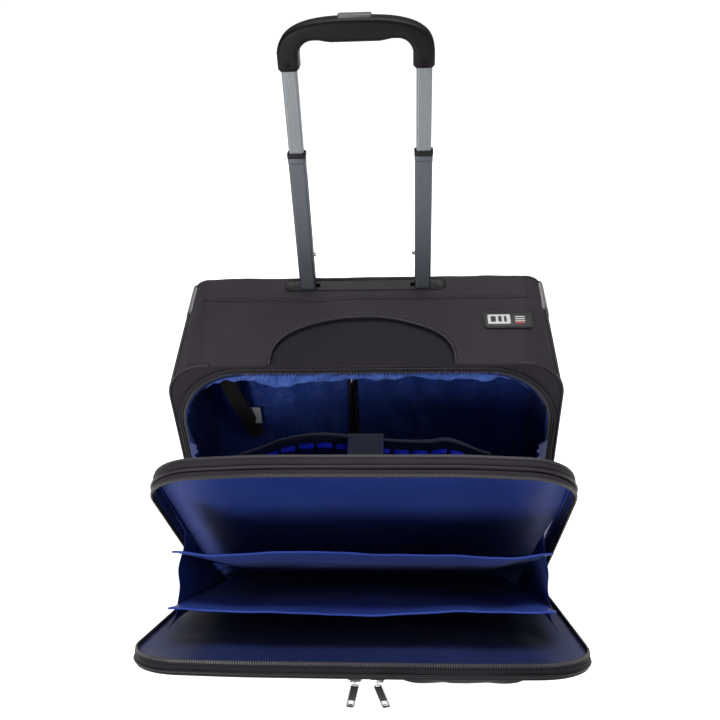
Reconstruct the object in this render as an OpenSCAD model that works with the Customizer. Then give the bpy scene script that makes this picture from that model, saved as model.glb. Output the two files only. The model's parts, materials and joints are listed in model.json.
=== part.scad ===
// Rolling pilot case: a soft-sided body on two wheels, with a telescoping handle, a main
// compartment and a front organizer section that both hinge open along the bottom.
// Millimetres. +Z is up, the front faces -Y, and the origin is on the floor under the middle
// of the front skid. The case stands open, with its handle partly pulled out.

/* [Body] */
// Width of the body at its front opening
body_w = 468; // [430:2:500]
// How much narrower the body is at its back
back_taper = 20; // [0:1:30]
// Depth of the main compartment, front to back
body_d = 140; // [120:2:170]
// Height of the body's front edge above the floor
front_h = 396; // [350:1:450]
// How much higher the back edge stands than the front edge
top_rise = 36; // [20:1:45]
// Thickness of the padded fabric panels
skin = 4; // [3:0.5:5]
// Corner radius of the top at its front edge
front_r = 45; // [30:1:60]
// Corner radius of the top at its back edge
back_r = 22; // [16:1:30]
// Corner radius of the zipped opening
mouth_r = 84; // [60:1:95]
// Width of the fabric frame beside the zip
frame_w = 5; // [5:0.5:12]

/* [Base and wheels] */
// Height of the base tray's underside above the floor
base_z = 30; // [28:1:36]
// Height of the base tray
tray_h = 18; // [16:1:22]
// Wall of the moulded parts
wall = 3; // [2.5:0.5:4]
// Length of the front skid
skid_l = 340; // [280:5:360]
// Depth of the front skid
skid_d = 32; // [28:1:40]
// Radius of a wheel
wheel_r = 35; // [32:0.5:36]
// Width of a wheel
wheel_w = 26; // [22:1:28]
// Radius of an axle
axle_r = 4; // [3:0.5:5]
// Radial play between an axle and its wheel
axle_play = 0.05; // [0.02:0.01:0.09]

/* [Handle] */
// Distance between the two tubes' centres
tube_gap = 145; // [130:1:160]
// Width of the upper tubes
tube_w = 17; // [16:0.5:20]
// Depth of the upper tubes
tube_d = 11; // [10:0.5:14]
// Wall of the tubes
tube_wall = 1.3; // [1.2:0.1:1.6]
// Play between one tube and the next
tube_play = 0.2; // [0.15:0.05:0.25]
// How far the middle tubes stand out of the top as modelled
mid_out = 175; // [120:1:200]
// How far the upper tubes stand out of the middle tubes as modelled
upper_out = 92; // [60:1:110]
// Length of the middle tubes
mid_l = 300; // [270:1:310]
// Length of the upper tubes
upper_l = 258; // [240:1:265]
// Width of the grip
grip_w = 167; // [160:1:190]
// Height of the grip, arms included
grip_h = 52; // [46:1:60]
// Thickness of the grip's bar
grip_bar = 21; // [20:1:26]
// Depth of the grip
grip_d = 26; // [22:1:30]
// Travel of the release button
button_travel = 3.5; // [2.5:0.5:3.5]

/* [Front section] */
// Depth of the organizer section
section_d = 27; // [24:1:40]
// Depth of the front flap's rim
flap_d = 12; // [10:1:16]
// Corner radius of the section and the flap
section_r = 57; // [45:1:70]
// Angle the section leans forward from upright
section_open = 21.2; // [0:0.1:30]
// Angle between the flap and the section
flap_open = 29.8; // [0:0.1:45]
// Share of the flap's angle that the rear divider takes
rear_share = 0.494; // [0.3:0.001:0.6]
// Share of the flap's angle that the front divider takes
front_share = 0.841; // [0.7:0.001:0.9]
// Width of the dividers, in a case of the usual width
divider_w = 408; // [340:2:416]
// Height of the dividers
divider_h = 283; // [240:1:300]
// Thickness of the dividers
divider_t = 3; // [2:0.5:4]
// Depth of the padded laptop sleeve
sleeve_d = 45; // [30:1:55]
// Width of the padded laptop sleeve
sleeve_w = 300; // [260:5:330]
// Height of the padded laptop sleeve
sleeve_h = 290; // [250:5:295]

/* [Pockets and zips] */
// Width of the arched slip pocket in the top
arch_w = 218; // [160:1:240]
// Depth of the arched slip pocket, front to back
arch_d = 66; // [45:1:75]
// Width of the accessory pocket on the flap
pouch_w = 134; // [100:1:140]
// Height of the accessory pocket
pouch_h = 120; // [90:1:150]
// How far the accessory pocket stands out
pouch_d = 13; // [8:1:16]
// Length of a zip pull
pull_l = 38; // [24:1:40]
// Width of a zip pull
pull_w = 9; // [7:0.5:11]

/* [Hidden] */
$fn = 48;
play = 0.6;
zip_w = 6;
zip_t = 2;
back_w = body_w - back_taper;
back_h = front_h + top_rise;
y_front = -skid_d / 2;
y_back = y_front + body_d;
deck_z = base_z + tray_h;
hinge_z = deck_z + 2;
section_h = front_h - hinge_z;
top_angle = atan2(top_rise, body_d);
mouth_w = body_w - 2 * frame_w;
mouth_h = front_h - frame_w;
usual_w = 468;
divider_span = divider_w + body_w - usual_w;
housing_w = 44;
housing_y = y_back - 69;
housing_h = 60;
housing_x = back_w / 2 - 0.2;
wheel_x = housing_x - housing_w / 2;
wheel_y = y_back - 26;
mid_w = tube_w + 2 * (tube_wall + tube_play);
mid_d = tube_d + 2 * (tube_wall + tube_play);
outer_w = mid_w + 2 * (tube_wall + tube_play);
outer_d = mid_d + 2 * (tube_wall + tube_play);
tube_y = y_back - skin - outer_d / 2 - 0.3;
bezel_w = tube_gap + 58;
bezel_d = 22;
bezel_t = 5;
bezel_lift = 3;
bezel_z = back_h - (y_back - tube_y) * tan(top_angle);
outer_z0 = deck_z + 14;
outer_z1 = bezel_z - 12;
mid_top = bezel_z + mid_out;
collar_h = 10;
cap_t = 2;
grip_z = mid_top + cap_t + upper_out;
upper_z = grip_z + 21 - upper_l;
grip_top = grip_z + grip_h;
pin_r = 2.5;
pin_z = upper_z + 14;
pin_out = 3.5;
down_mid = mid_out - collar_h - bezel_lift - 4;
slot_w = 2 * pin_r + 1.4;
lining_y = tube_y - outer_d / 2 - 7;
pivot_y = -play - section_d;
flap_t = 4;
pocket_t = 3;
zip_z = section_h - 14;
pull_t = 1.8;
slider_l = 14;

// ---- shapes ----

// points along an arc
function arc(c, r, a0, a1, n = 8) =
    [for (i = [0:n]) c + r * [cos(a0 + (a1 - a0) * i / n), sin(a0 + (a1 - a0) * i / n)]];

// a panel's outline: width, bottom, top, top corner radius, bottom corner radius
function outline(w, z0, z1, rt, rb) = concat(
    arc([w / 2 - rt, z1 - rt], rt, 0, 90), arc([rt - w / 2, z1 - rt], rt, 90, 180),
    arc([rb - w / 2, z0 + rb], rb, 180, 270), arc([w / 2 - rb, z0 + rb], rb, 270, 360));

// an outline with square bottom corners
function arch_top(w, z0, z1, r) = concat(arc([w / 2 - r, z1 - r], r, 0, 90),
    arc([r - w / 2, z1 - r], r, 90, 180), [[-w / 2, z0], [w / 2, z0]]);

// a rounded rectangle about its centre
function rounded(w, d, r) = outline(w, -d / 2, d / 2, r, r);

// stands a flat shape upright, reaching from y back towards the front
module upright(y, t) translate([0, y, 0]) rotate([90, 0, 0]) linear_extrude(t) children();

// a side view pushed out along X
module side_view(x, t) translate([x, 0, 0]) rotate([90, 0, 90]) linear_extrude(t) children();

module both_sides() {
    children();
    mirror([1, 0, 0]) children();
}

// the solid body, pulled in by some distance, from one depth to another
module body_loft(inset, y0, y1) {
    function share(y) = (y - y_front) / body_d;
    function half(y) = [for (p = arch_top(
        body_w - back_taper * share(y) - 2 * inset, deck_z,
        front_h + top_rise * share(y) - inset,
        front_r + (back_r - front_r) * share(y) - inset * 0.9)) [p[0], y, p[1]]];
    n = len(half(y0));
    polyhedron(concat(half(y0), half(y1)), concat(
        [[for (i = [n - 1:-1:0]) i]], [[for (i = [n:2 * n - 1]) i]],
        [for (i = [0:n - 1]) let (j = (i + 1) % n) [i, j, n + j]],
        [for (i = [0:n - 1]) let (j = (i + 1) % n) [i, n + j, n + i]]));
}

// a ring that follows a panel's edge, without its bottom when the edge is left open
module edge_ring(y, t, w, h, r, band) upright(y, t) difference() {
    polygon(outline(w, 0, h, r, 8));
    polygon(outline(w - 2 * band, band, h - band, r - band, 8 - min(band, 6)));
}

module housing_room(g) translate([housing_x - housing_w - g, housing_y - g, base_z - 10])
    cube([housing_w + 30, body_d, housing_h + g]);

module in_section() translate([0, y_front, hinge_z]) rotate([section_open, 0, 0]) children();

module in_flap() in_section() translate([0, pivot_y, 0]) rotate([flap_open, 0, 0]) children();

// ---- base and wheels ----

module base_tray() color("#1b1b1d") difference() {
    translate([0, 0, base_z]) linear_extrude(tray_h) translate([0, (y_front + y_back) / 2])
        polygon(rounded(back_w + 2, body_d - 1.2, 10));
    translate([0, 0, base_z - 1]) linear_extrude(tray_h - wall + 1)
        translate([0, (y_front + y_back) / 2])
            polygon(rounded(back_w + 2 - 2 * wall, body_d - 1.2 - 2 * wall, 7));
    both_sides() housing_room(0);
}

module front_skid() color("#222224") difference() {
    union() {
        linear_extrude(base_z) polygon(rounded(skid_l, skid_d, 9));
        linear_extrude(deck_z - wall) polygon(rounded(skid_l - 20, skid_d - 10, 6));
    }
    translate([0, 0, 5]) linear_extrude(deck_z)
        polygon(rounded(skid_l - 28, skid_d - 18, 3));
}

module wheel_housing(side) color("#1d1d1f") translate([side * wheel_x, wheel_y, wheel_r])
    difference() {
        translate([-housing_w / 2, housing_y - wheel_y, base_z - 8 - wheel_r])
            cube([housing_w, y_back - housing_y, housing_h - 2]);
        rotate([0, 90, 0]) cylinder(r = wheel_r + 4, h = wheel_w + 6, center = true);
        translate([-wheel_w / 2 - 3, 0, -wheel_r]) cube([wheel_w + 6, wheel_r * 2, wheel_r]);
        rotate([0, 90, 0]) cylinder(r = axle_r, h = housing_w + 2, center = true);
    }
module wheel_housing_left() wheel_housing(-1);
module wheel_housing_right() wheel_housing(1);

module wheel_axles() color("#b9bcc0") both_sides() translate([wheel_x, wheel_y, wheel_r])
    rotate([0, 90, 0]) cylinder(r = axle_r, h = housing_w - 2, center = true);

module wheel_tyre(side) color("#2a2b2d") translate([side * wheel_x, wheel_y, wheel_r])
    rotate([0, 90, 0]) rotate_extrude() polygon(concat(
        [[wheel_r - 12, -wheel_w / 2 + 1]], arc([wheel_r - 5, 5 - wheel_w / 2], 5, -90, 0, 4),
        arc([wheel_r - 5, wheel_w / 2 - 5], 5, 0, 90, 4), [[wheel_r - 12, wheel_w / 2 - 1]]));
module wheel_tyre_left() wheel_tyre(-1);
module wheel_tyre_right() wheel_tyre(1);

module wheel_hub(side) color("#8f9296") translate([side * wheel_x, wheel_y, wheel_r])
    rotate([0, 90, 0]) difference() {
        cylinder(r = wheel_r - 12, h = wheel_w - 2, center = true);
        cylinder(r = axle_r + axle_play, h = wheel_w + 2, center = true);
        for (end = [-1, 1]) translate([0, 0, end * wheel_w / 2]) difference() {
            cylinder(r = wheel_r - 15, h = 9, center = true);
            cylinder(r = axle_r + 5, h = 10, center = true);
        }
    }
module wheel_hub_left() wheel_hub(-1);
module wheel_hub_right() wheel_hub(1);

// ---- body panels ----

module body_shell() difference() {
    body_loft(0, y_front, y_back);
    body_loft(skin, y_front - 1, y_back + 1);
}

module side_panel() color("#161618") difference() {
    intersection() {
        body_shell();
        translate([back_w / 2 - back_r, y_front - 5, deck_z]) cube([60, body_d + 10, back_h]);
    }
    housing_room(0);
}
module side_panel_left() mirror([1, 0, 0]) side_panel();
module side_panel_right() side_panel();

module back_panel() color("#141416") difference() {
    intersection() {
        body_loft(skin, y_front - 1, y_back + 1);
        translate([-body_w, y_back - skin, deck_z]) cube([2 * body_w, skin, back_h]);
    }
    both_sides() housing_room(0);
    bezel_room(0, 14);
}

// the arch in the top, seen from above
module arch_shape(grow) translate([-1, y_front + 6]) polygon(concat(
    [for (a = [0:9:180]) [(arch_w / 2 + grow) * cos(a), (arch_d + grow) * pow(sin(a), 0.8)]]));

module bezel_room(grow, deep) translate([0, tube_y, bezel_z + bezel_lift])
    rotate([top_angle, 0, 0]) translate([0, 0, -deep]) linear_extrude(deep)
        polygon(rounded(bezel_w + grow, bezel_d + grow, 8));

module top_panel() color("#1c1c1f") difference() {
    intersection() {
        body_shell();
        translate([-back_w / 2 + back_r, y_front - 5, front_h - 60])
            cube([back_w - 2 * back_r, body_d + 10, 200]);
    }
    translate([0, 0, front_h - 30]) linear_extrude(80) arch_shape(0);
    bezel_room(0, 14);
}

module slip_pocket() color("#0f0f11") intersection() {
    difference() {
        body_loft(1.6, y_front - 1, y_back + 1);
        body_loft(skin, y_front - 1, y_back + 1);
    }
    translate([0, 0, front_h - 30]) linear_extrude(80) arch_shape(0);
}

module corner_guard() color("#a9adb2") intersection() {
    difference() {
        body_loft(-2, y_front, y_back);
        body_loft(0, y_front - 1, y_back + 1);
    }
    translate([back_w / 2 - back_r - 3, y_back - 44, back_h - 42]) cube([60, 60, 60]);
}
module corner_guard_left() mirror([1, 0, 0]) corner_guard();
module corner_guard_right() corner_guard();

badge_y = 66;
module badge() color("#3a3a3d")
    translate([body_w / 2 - 60, y_front + badge_y, front_h + badge_y * tan(top_angle) + 0.1])
        rotate([top_angle, 0, 0]) linear_extrude(2) polygon(rounded(58, 27, 5));

module front_frame() color("#141416") difference() {
    body_loft(skin + 0.1, y_front, y_front + skin);
    upright(y_front + 2 * skin, 3 * skin)
        polygon(outline(mouth_w, -20, mouth_h, mouth_r, 1));
}

// one half of a zip: tape and teeth round the mouth
module body_zip() color("#1a1b20") intersection() {
    upright(y_front + zip_t + 1, zip_t) difference() {
        polygon(outline(mouth_w, -20, mouth_h, mouth_r, 1));
        polygon(outline(mouth_w - 2 * zip_w, -21, mouth_h - zip_w, mouth_r - zip_w, 1));
    }
    translate([-body_w, y_front - 5, deck_z + 12]) cube([2 * body_w, 20, back_h]);
}

// ---- main compartment ----

module side_lining() color("#16307c") difference() {
    body_loft(skin + 0.3, y_front + skin + 0.5, lining_y - 0.5);
    body_loft(skin + 1.8, y_front, lining_y + 3);
    translate([-body_w, -body_d, deck_z - 5]) cube([2 * body_w, 3 * body_d, 6]);
    both_sides() housing_room(0.5);
}

module back_lining() color("#1d3c9a") difference() {
    intersection() {
        body_loft(skin + 0.3, y_front - 1, y_back + 1);
        translate([-body_w, lining_y, deck_z]) cube([2 * body_w, 2, back_h]);
    }
    both_sides() housing_room(0.5);
}

lining_zip_x = -22;
lining_zip_l = 215;
lining_zip_top = front_h - 92;
module lining_zip() color("#101f52") translate([lining_zip_x - 7, lining_y - 1, 0]) {
    translate([0, 0, lining_zip_top - lining_zip_l]) cube([14, 1, lining_zip_l]);
    translate([5.5, -1, lining_zip_top - lining_zip_l]) cube([3, 1, lining_zip_l]);
}

module lining_zip_slider() color("#c2c6cc")
    translate([lining_zip_x - 4, lining_y - 5.5, lining_zip_top - 18]) {
        cube([8, 3.2, 11]);
        translate([1.5, -1.4, -13]) cube([5, 1.4, 20]);
    }

strap_lean = 21.3;
module packing_strap() color("#0e0e10") translate([-148, lining_y - 2.2, deck_z + 147])
    rotate([0, -6.2, 0]) rotate([strap_lean, 0, 0]) translate([-9, 0, 1])
        cube([18, 1.4, front_h - deck_z - 150]);

// ---- handle ----

module tube_bracket() color("#2b2b2e") difference() {
    translate([0, tube_y, deck_z]) linear_extrude(14)
        polygon(rounded(tube_gap + outer_w + 20, outer_d, 4));
    for (side = [-1, 1]) translate([side * tube_gap / 2, tube_y, deck_z + 6])
        linear_extrude(20) polygon(rounded(mid_w, mid_d, 2));
}

// one tube's section; the grooves run down its front
module tube_section(w, d, grooves) difference() {
    polygon(rounded(w, d, 3));
    polygon(rounded(w - 2 * tube_wall, d - 2 * tube_wall, 1.6));
    if (grooves > 0) for (i = [0:grooves - 1])
        translate([(i - (grooves - 1) / 2) * (w - 6) / grooves, -d / 2]) square([1, 1], true);
}

module outer_tube() color("#6d7176") difference() {
    translate([tube_gap / 2, tube_y, outer_z0]) linear_extrude(outer_z1 - outer_z0)
        tube_section(outer_w, outer_d, 0);
    translate([tube_gap / 2 - outer_w, tube_y - slot_w / 2, pin_z - down_mid - upper_out - 8])
        cube([outer_w, slot_w, 500]);
}
module outer_tube_left() mirror([1, 0, 0]) outer_tube();
module outer_tube_right() outer_tube();

module handle_bezel() color("#151517") difference() {
    bezel_room(0, bezel_t + bezel_lift);
    translate([0, tube_y, bezel_z + bezel_lift]) rotate([top_angle, 0, 0])
        translate([0, 0, -1]) linear_extrude(5)
            polygon(rounded(bezel_w - 8, bezel_d - 7, 6));
    for (side = [-1, 1]) translate([side * tube_gap / 2, tube_y, bezel_z - 30])
        linear_extrude(60) {
            polygon(rounded(mid_w + 0.7, mid_d + 0.7, 3));
            translate([-side * (mid_w / 2 + pin_out / 2), 0]) square([pin_out + 3, slot_w], true);
        }
}

module mid_tube() color("#85898e") difference() {
    translate([tube_gap / 2, tube_y, mid_top - mid_l]) linear_extrude(mid_l)
        tube_section(mid_w, mid_d, 0);
    translate([tube_gap / 2 - mid_w, tube_y - slot_w / 2, pin_z - upper_out - 8])
        cube([mid_w, slot_w, upper_out + 8 + 100 + 8]);
}
module mid_tube_left() mirror([1, 0, 0]) mid_tube();
module mid_tube_right() mid_tube();

module mid_collars() color("#101012") both_sides()
    translate([tube_gap / 2, tube_y, mid_top - collar_h]) difference() {
        linear_extrude(collar_h + cap_t) polygon(rounded(mid_w + 2.6, mid_d + 2.6, 4));
        translate([0, 0, -1]) linear_extrude(collar_h + 1) polygon(rounded(mid_w, mid_d, 3));
        linear_extrude(collar_h + 5)
            polygon(rounded(tube_w + 2 * tube_play, tube_d + 2 * tube_play, 3));
    }

module upper_tube() color("#b4b7bb") difference() {
    translate([tube_gap / 2, tube_y, upper_z]) linear_extrude(upper_l)
        tube_section(tube_w, tube_d, 5);
    translate([tube_gap / 2 - tube_w, tube_y, pin_z]) rotate([0, 90, 0])
        cylinder(r = pin_r + 0.05, h = tube_w);
}
module upper_tube_left() mirror([1, 0, 0]) upper_tube();
module upper_tube_right() upper_tube();

module lock_pin() color("#d5d8dc") translate([tube_gap / 2 - mid_w / 2 - pin_out, tube_y, pin_z])
    rotate([0, 90, 0]) cylinder(r = pin_r, h = 11);
module lock_pin_left() mirror([1, 0, 0]) lock_pin();
module lock_pin_right() lock_pin();

button_w = 36;
button_d = 14;
rocker_t = 4;
rocker_z = grip_top - 14;
module grip() color("#131315") difference() {
    upright(tube_y + grip_d / 2, grip_d) difference() {
        polygon(outline(grip_w, grip_z, grip_top, 15, 4));
        polygon(outline(tube_gap - 24, grip_z - 10, grip_top - grip_bar, 9, 1));
    }
    for (side = [-1, 1]) {
        translate([side * tube_gap / 2, tube_y, grip_z - 1]) linear_extrude(22)
            polygon(rounded(tube_w, tube_d, 3));
        translate([side * tube_gap / 2, tube_y - grip_d / 2 - 1, grip_z + 8])
            rotate([-90, 0, 0]) {
                cylinder(r = 1.5, h = grip_d / 2);
                cylinder(r = 3.2, h = 3);
            }
    }
    translate([-tube_gap / 2 - 4, tube_y - 4, rocker_z - button_travel - 0.6])
        cube([tube_gap + 8, 8, button_travel + rocker_t + 1.2]);
    both_sides() translate([tube_gap / 2, tube_y, grip_z]) cylinder(r = 2.6, h = grip_h - 14);
    translate([0, tube_y, rocker_z + rocker_t - button_travel - play])
        linear_extrude(grip_h)
        polygon(rounded(button_w + 0.6, button_d + 0.6, 4));
}

module grip_screws() color("#a7abb0") both_sides()
    translate([tube_gap / 2, tube_y - grip_d / 2 + 0.3, grip_z + 8]) rotate([-90, 0, 0])
        difference() {
            union() {
                cylinder(r = 3.2, h = 1.7);
                cylinder(r = 1.5, h = grip_d / 2 - tube_d / 2 - 0.3);
            }
            for (turn = [0, 90]) rotate([0, 0, turn]) cube([3.6, 0.8, 1.6], true);
        }

module release_button() color("#8d9297") translate([0, tube_y, rocker_z + rocker_t])
    linear_extrude(grip_top - rocker_z - rocker_t + button_travel + 0.5) polygon(rounded(button_w, button_d, 4));

module release_linkage() color("#c5c8cc") {
    translate([-tube_gap / 2 - 3, tube_y - 3, rocker_z]) cube([tube_gap + 6, 6, rocker_t]);
    both_sides() translate([tube_gap / 2, tube_y, pin_z + pin_r + button_travel + 1])
        cylinder(r = 2, h = rocker_z - pin_z - pin_r - button_travel - 0.9);
}

// ---- front section ----

rim_t = 4;
module section_rim() color("#141416") in_section()
    edge_ring(-play - 4, section_d - 8, body_w, section_h, section_r, rim_t);

module section_zip() color("#1a1b20") in_section()
    edge_ring(-play, 4, body_w, section_h, section_r, 2.4);

module organizer_zip_rear() color("#1a1b20") in_section()
    edge_ring(-play - section_d + 4, 4, body_w, section_h, section_r, 2.4);

module section_panel() color("#1d3c9a") in_section() upright(-play - 4, 5)
    polygon(outline(body_w - 2 * rim_t, rim_t, section_h - rim_t, section_r - rim_t, 4));

module main_zip_sliders() color("#c2c6cc") in_section() both_sides()
    translate([body_w / 2 + 0.2, -play - 5, 12]) {
        cube([3, 8, 13]);
        translate([1.2, 2, -16]) cube([1.6, 4, 20]);
    }

sleeve_t = 6;
module laptop_sleeve() color("#142a6e") in_section() {
    upright(sleeve_d + sleeve_t, sleeve_t) polygon([
        [-sleeve_w / 2, 6], [sleeve_w / 2, 6], [sleeve_w / 2, sleeve_h - 44],
        [sleeve_w / 2 - 68, sleeve_h], [68 - sleeve_w / 2, sleeve_h],
        [-sleeve_w / 2, sleeve_h - 44]]);
    for (i = [-6:6]) translate([i * 22, sleeve_d, 6])
        linear_extrude(sleeve_h - 20 - max(0, abs(i) - 3) * 14) translate([-9.5, -4])
            square([19, 4.01]);
    both_sides() translate([sleeve_w / 2 - 2, -play - 4, 6])
        cube([2, sleeve_d + play + 4.01, sleeve_h - 70]);
    translate([-sleeve_w / 2, -play - 4, 6]) cube([sleeve_w, sleeve_d + play + 4.01, 2]);
}

module sleeve_strap() color("#101f52") in_section() translate([-17, -play - 4, sleeve_h])
    cube([42, sleeve_d + play + 4 + sleeve_t + 4, 2.4]);

// a fan of fabric between two panels that meet at a low edge
module gusset_fan(x, from, to, long) side_view(x, 1.5)
    polygon(concat([8 * [-sin((from + to) / 2), cos((from + to) / 2)]],
        [for (i = [0:6]) let (a = from + (to - from) * i / 6)
            (long - (i % 2) * 9) * [-sin(a), cos(a)]]));

module compartment_gussets() color("#2b3f66") both_sides()
    translate([0, y_front, hinge_z]) gusset_fan(body_w / 2 - 21, 2, section_open - 2, 250);

module organizer_gussets() color("#1b37a0") in_section() both_sides()
    translate([0, pivot_y, 0]) gusset_fan(body_w / 2 - 14, 3, flap_open - 2, 235);

module divider(y, angle, tone) color(tone) in_section() translate([0, y, 7.5])
    rotate([angle, 0, 0]) upright(divider_t / 2, divider_t) polygon([
        [-divider_span / 2 + 25, -1.5], [divider_span / 2 - 25, -1.5],
        [divider_span / 2, divider_h - 30], [divider_span / 2, divider_h - 3],
        [divider_span / 2 - 8, divider_h], [8 - divider_span / 2, divider_h],
        [-divider_span / 2, divider_h - 3], [-divider_span / 2, divider_h - 30]]);
module divider_rear() divider(pivot_y + 15, rear_share * flap_open, "#2044b4");
module divider_front() divider(pivot_y + 7, front_share * flap_open, "#1b3aa2");

// ---- front flap ----

module organizer_zip_front() color("#1a1b20") in_flap()
    edge_ring(-play, 4, body_w, section_h, section_r, 2.4);

module flap_rim() color("#141416") in_flap()
    edge_ring(-play - 4, flap_d - 4, body_w, section_h, section_r, rim_t);

module flap_panel() color("#18181b") in_flap() upright(-play - flap_d, flap_t)
    polygon(outline(body_w, 0, section_h, section_r, 8));

flap_face = -play - flap_d - flap_t;
module pocket_panel() color("#1a1a1d") in_flap() upright(flap_face, pocket_t)
    polygon(outline(body_w - 24, 8, zip_z - 6, section_r - 10, 12));

module pocket_zip() color("#1a1b20") in_flap() {
    translate([-190, flap_face - 2, zip_z - 6]) cube([380, 2, 12]);
    translate([-190, flap_face - 3, zip_z - 1.5]) cube([380, 1, 3]);
}

module accessory_pocket() color("#161618") in_flap() translate([38, 0, 0])
    upright(flap_face - pocket_t, pouch_d) translate([pouch_w / 2, 0])
        polygon(outline(pouch_w, zip_z - 12 - pouch_h, zip_z - 12, 14, 14));

slider_out = 4.7;
pull_pivot = flap_face - 3.3 - slider_out - 2.2;
module pocket_slider(x) color("#c2c6cc") in_flap() translate([x, flap_face - 3.3, zip_z])
    rotate([90, 0, 0]) linear_extrude(slider_out) polygon(rounded(slider_l, 9, 2));
module pocket_slider_left() pocket_slider(-2);
module pocket_slider_right() pocket_slider(20);

// a pull with a long eye near its free end
module pocket_pull(x, lean) color("#2a2b2e") in_flap() translate([x, pull_pivot, zip_z])
    rotate([-section_open - flap_open, 0, 0]) rotate([0, lean, 0])
        upright(pull_t / 2, pull_t) difference() {
            polygon(outline(pull_w, -pull_l, 1, 2, 3));
            translate([-2.2, 5 - pull_l]) square([4.4, 8]);
        }
module pocket_pull_left() pocket_pull(-2, 10);
module pocket_pull_right() pocket_pull(20, -12);

base_tray();
front_skid();
wheel_housing_left();
wheel_housing_right();
wheel_axles();
wheel_tyre_left();
wheel_tyre_right();
wheel_hub_left();
wheel_hub_right();
back_panel();
side_panel_left();
side_panel_right();
top_panel();
slip_pocket();
corner_guard_left();
corner_guard_right();
badge();
front_frame();
body_zip();
side_lining();
back_lining();
lining_zip();
lining_zip_slider();
packing_strap();
tube_bracket();
outer_tube_left();
outer_tube_right();
handle_bezel();
mid_tube_left();
mid_tube_right();
mid_collars();
upper_tube_left();
upper_tube_right();
lock_pin_left();
lock_pin_right();
grip();
grip_screws();
release_button();
release_linkage();
section_panel();
section_rim();
section_zip();
organizer_zip_rear();
main_zip_sliders();
laptop_sleeve();
sleeve_strap();
compartment_gussets();
organizer_gussets();
divider_rear();
divider_front();
flap_panel();
flap_rim();
organizer_zip_front();
pocket_panel();
pocket_zip();
accessory_pocket();
pocket_slider_left();
pocket_slider_right();
pocket_pull_left();
pocket_pull_right();
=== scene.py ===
import json
import math
import bpy
import bmesh
from mathutils import Matrix, Vector, noise


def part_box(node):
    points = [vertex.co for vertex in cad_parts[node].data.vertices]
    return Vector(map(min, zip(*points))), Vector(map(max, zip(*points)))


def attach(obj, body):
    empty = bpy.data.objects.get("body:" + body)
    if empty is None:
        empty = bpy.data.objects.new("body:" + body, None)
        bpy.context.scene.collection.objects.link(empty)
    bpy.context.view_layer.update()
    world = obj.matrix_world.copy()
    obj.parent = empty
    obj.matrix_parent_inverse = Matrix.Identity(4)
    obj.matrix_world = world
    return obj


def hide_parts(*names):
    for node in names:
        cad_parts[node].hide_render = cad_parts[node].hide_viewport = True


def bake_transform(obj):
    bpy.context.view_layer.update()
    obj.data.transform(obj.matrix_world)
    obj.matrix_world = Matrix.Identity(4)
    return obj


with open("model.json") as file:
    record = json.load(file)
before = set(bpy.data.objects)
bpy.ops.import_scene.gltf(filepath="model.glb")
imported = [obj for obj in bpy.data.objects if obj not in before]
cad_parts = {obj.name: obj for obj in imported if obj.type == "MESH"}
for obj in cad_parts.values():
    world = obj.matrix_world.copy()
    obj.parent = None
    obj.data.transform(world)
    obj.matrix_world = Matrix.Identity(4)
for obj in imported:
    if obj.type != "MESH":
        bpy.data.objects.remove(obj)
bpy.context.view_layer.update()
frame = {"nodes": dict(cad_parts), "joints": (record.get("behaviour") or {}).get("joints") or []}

scene = bpy.context.scene
scene.view_settings.view_transform = "Standard"
joints = {joint["name"]: joint for joint in frame["joints"]}


# camera, lights and floor

cameraPlace = dict(at=(0.0485, -0.7585, 0.937), turn=3.93, down=35.62, roll=-2.74, lens=39.55)


def makeCamera(p):
    data = bpy.data.cameras.new("camera")
    data.lens = p["lens"]
    data.sensor_width = 36
    data.clip_start = 0.02
    camera = bpy.data.objects.new("camera", data)
    scene.collection.objects.link(camera)
    camera.matrix_world = (Matrix.Translation(p["at"])
                           @ Matrix.Rotation(math.radians(p["turn"]), 4, "Z")
                           @ Matrix.Rotation(math.radians(90 - p["down"]), 4, "X")
                           @ Matrix.Rotation(math.radians(p["roll"]), 4, "Z"))
    scene.camera = camera


def softLight(name, at, size, power, aim):
    data = bpy.data.lights.new(name, "AREA")
    data.shape = "RECTANGLE"
    data.size, data.size_y = size
    data.energy = power
    light = bpy.data.objects.new(name, data)
    scene.collection.objects.link(light)
    light.location = at
    light.rotation_euler = (Vector(aim) - Vector(at)).to_track_quat("-Z", "Y").to_euler()


makeCamera(cameraPlace)


# shader helpers

class Value:  # a socket that works in sums
    def __init__(self, finish, socket):
        self.finish, self.socket = finish, socket

    def maths(self, operation, first, second=0.0):
        return self.finish.node("Math", {"operation": operation}, {0: first, 1: second})

    def __add__(self, other):
        return self.maths("ADD", self, other)

    def __mul__(self, other):
        return self.maths("MULTIPLY", self, other)

    def __sub__(self, other):
        return self.maths("SUBTRACT", self, other)

    def wave(self):
        return self.maths("SINE", self)

    def size(self):
        return self.maths("ABSOLUTE", self)


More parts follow.
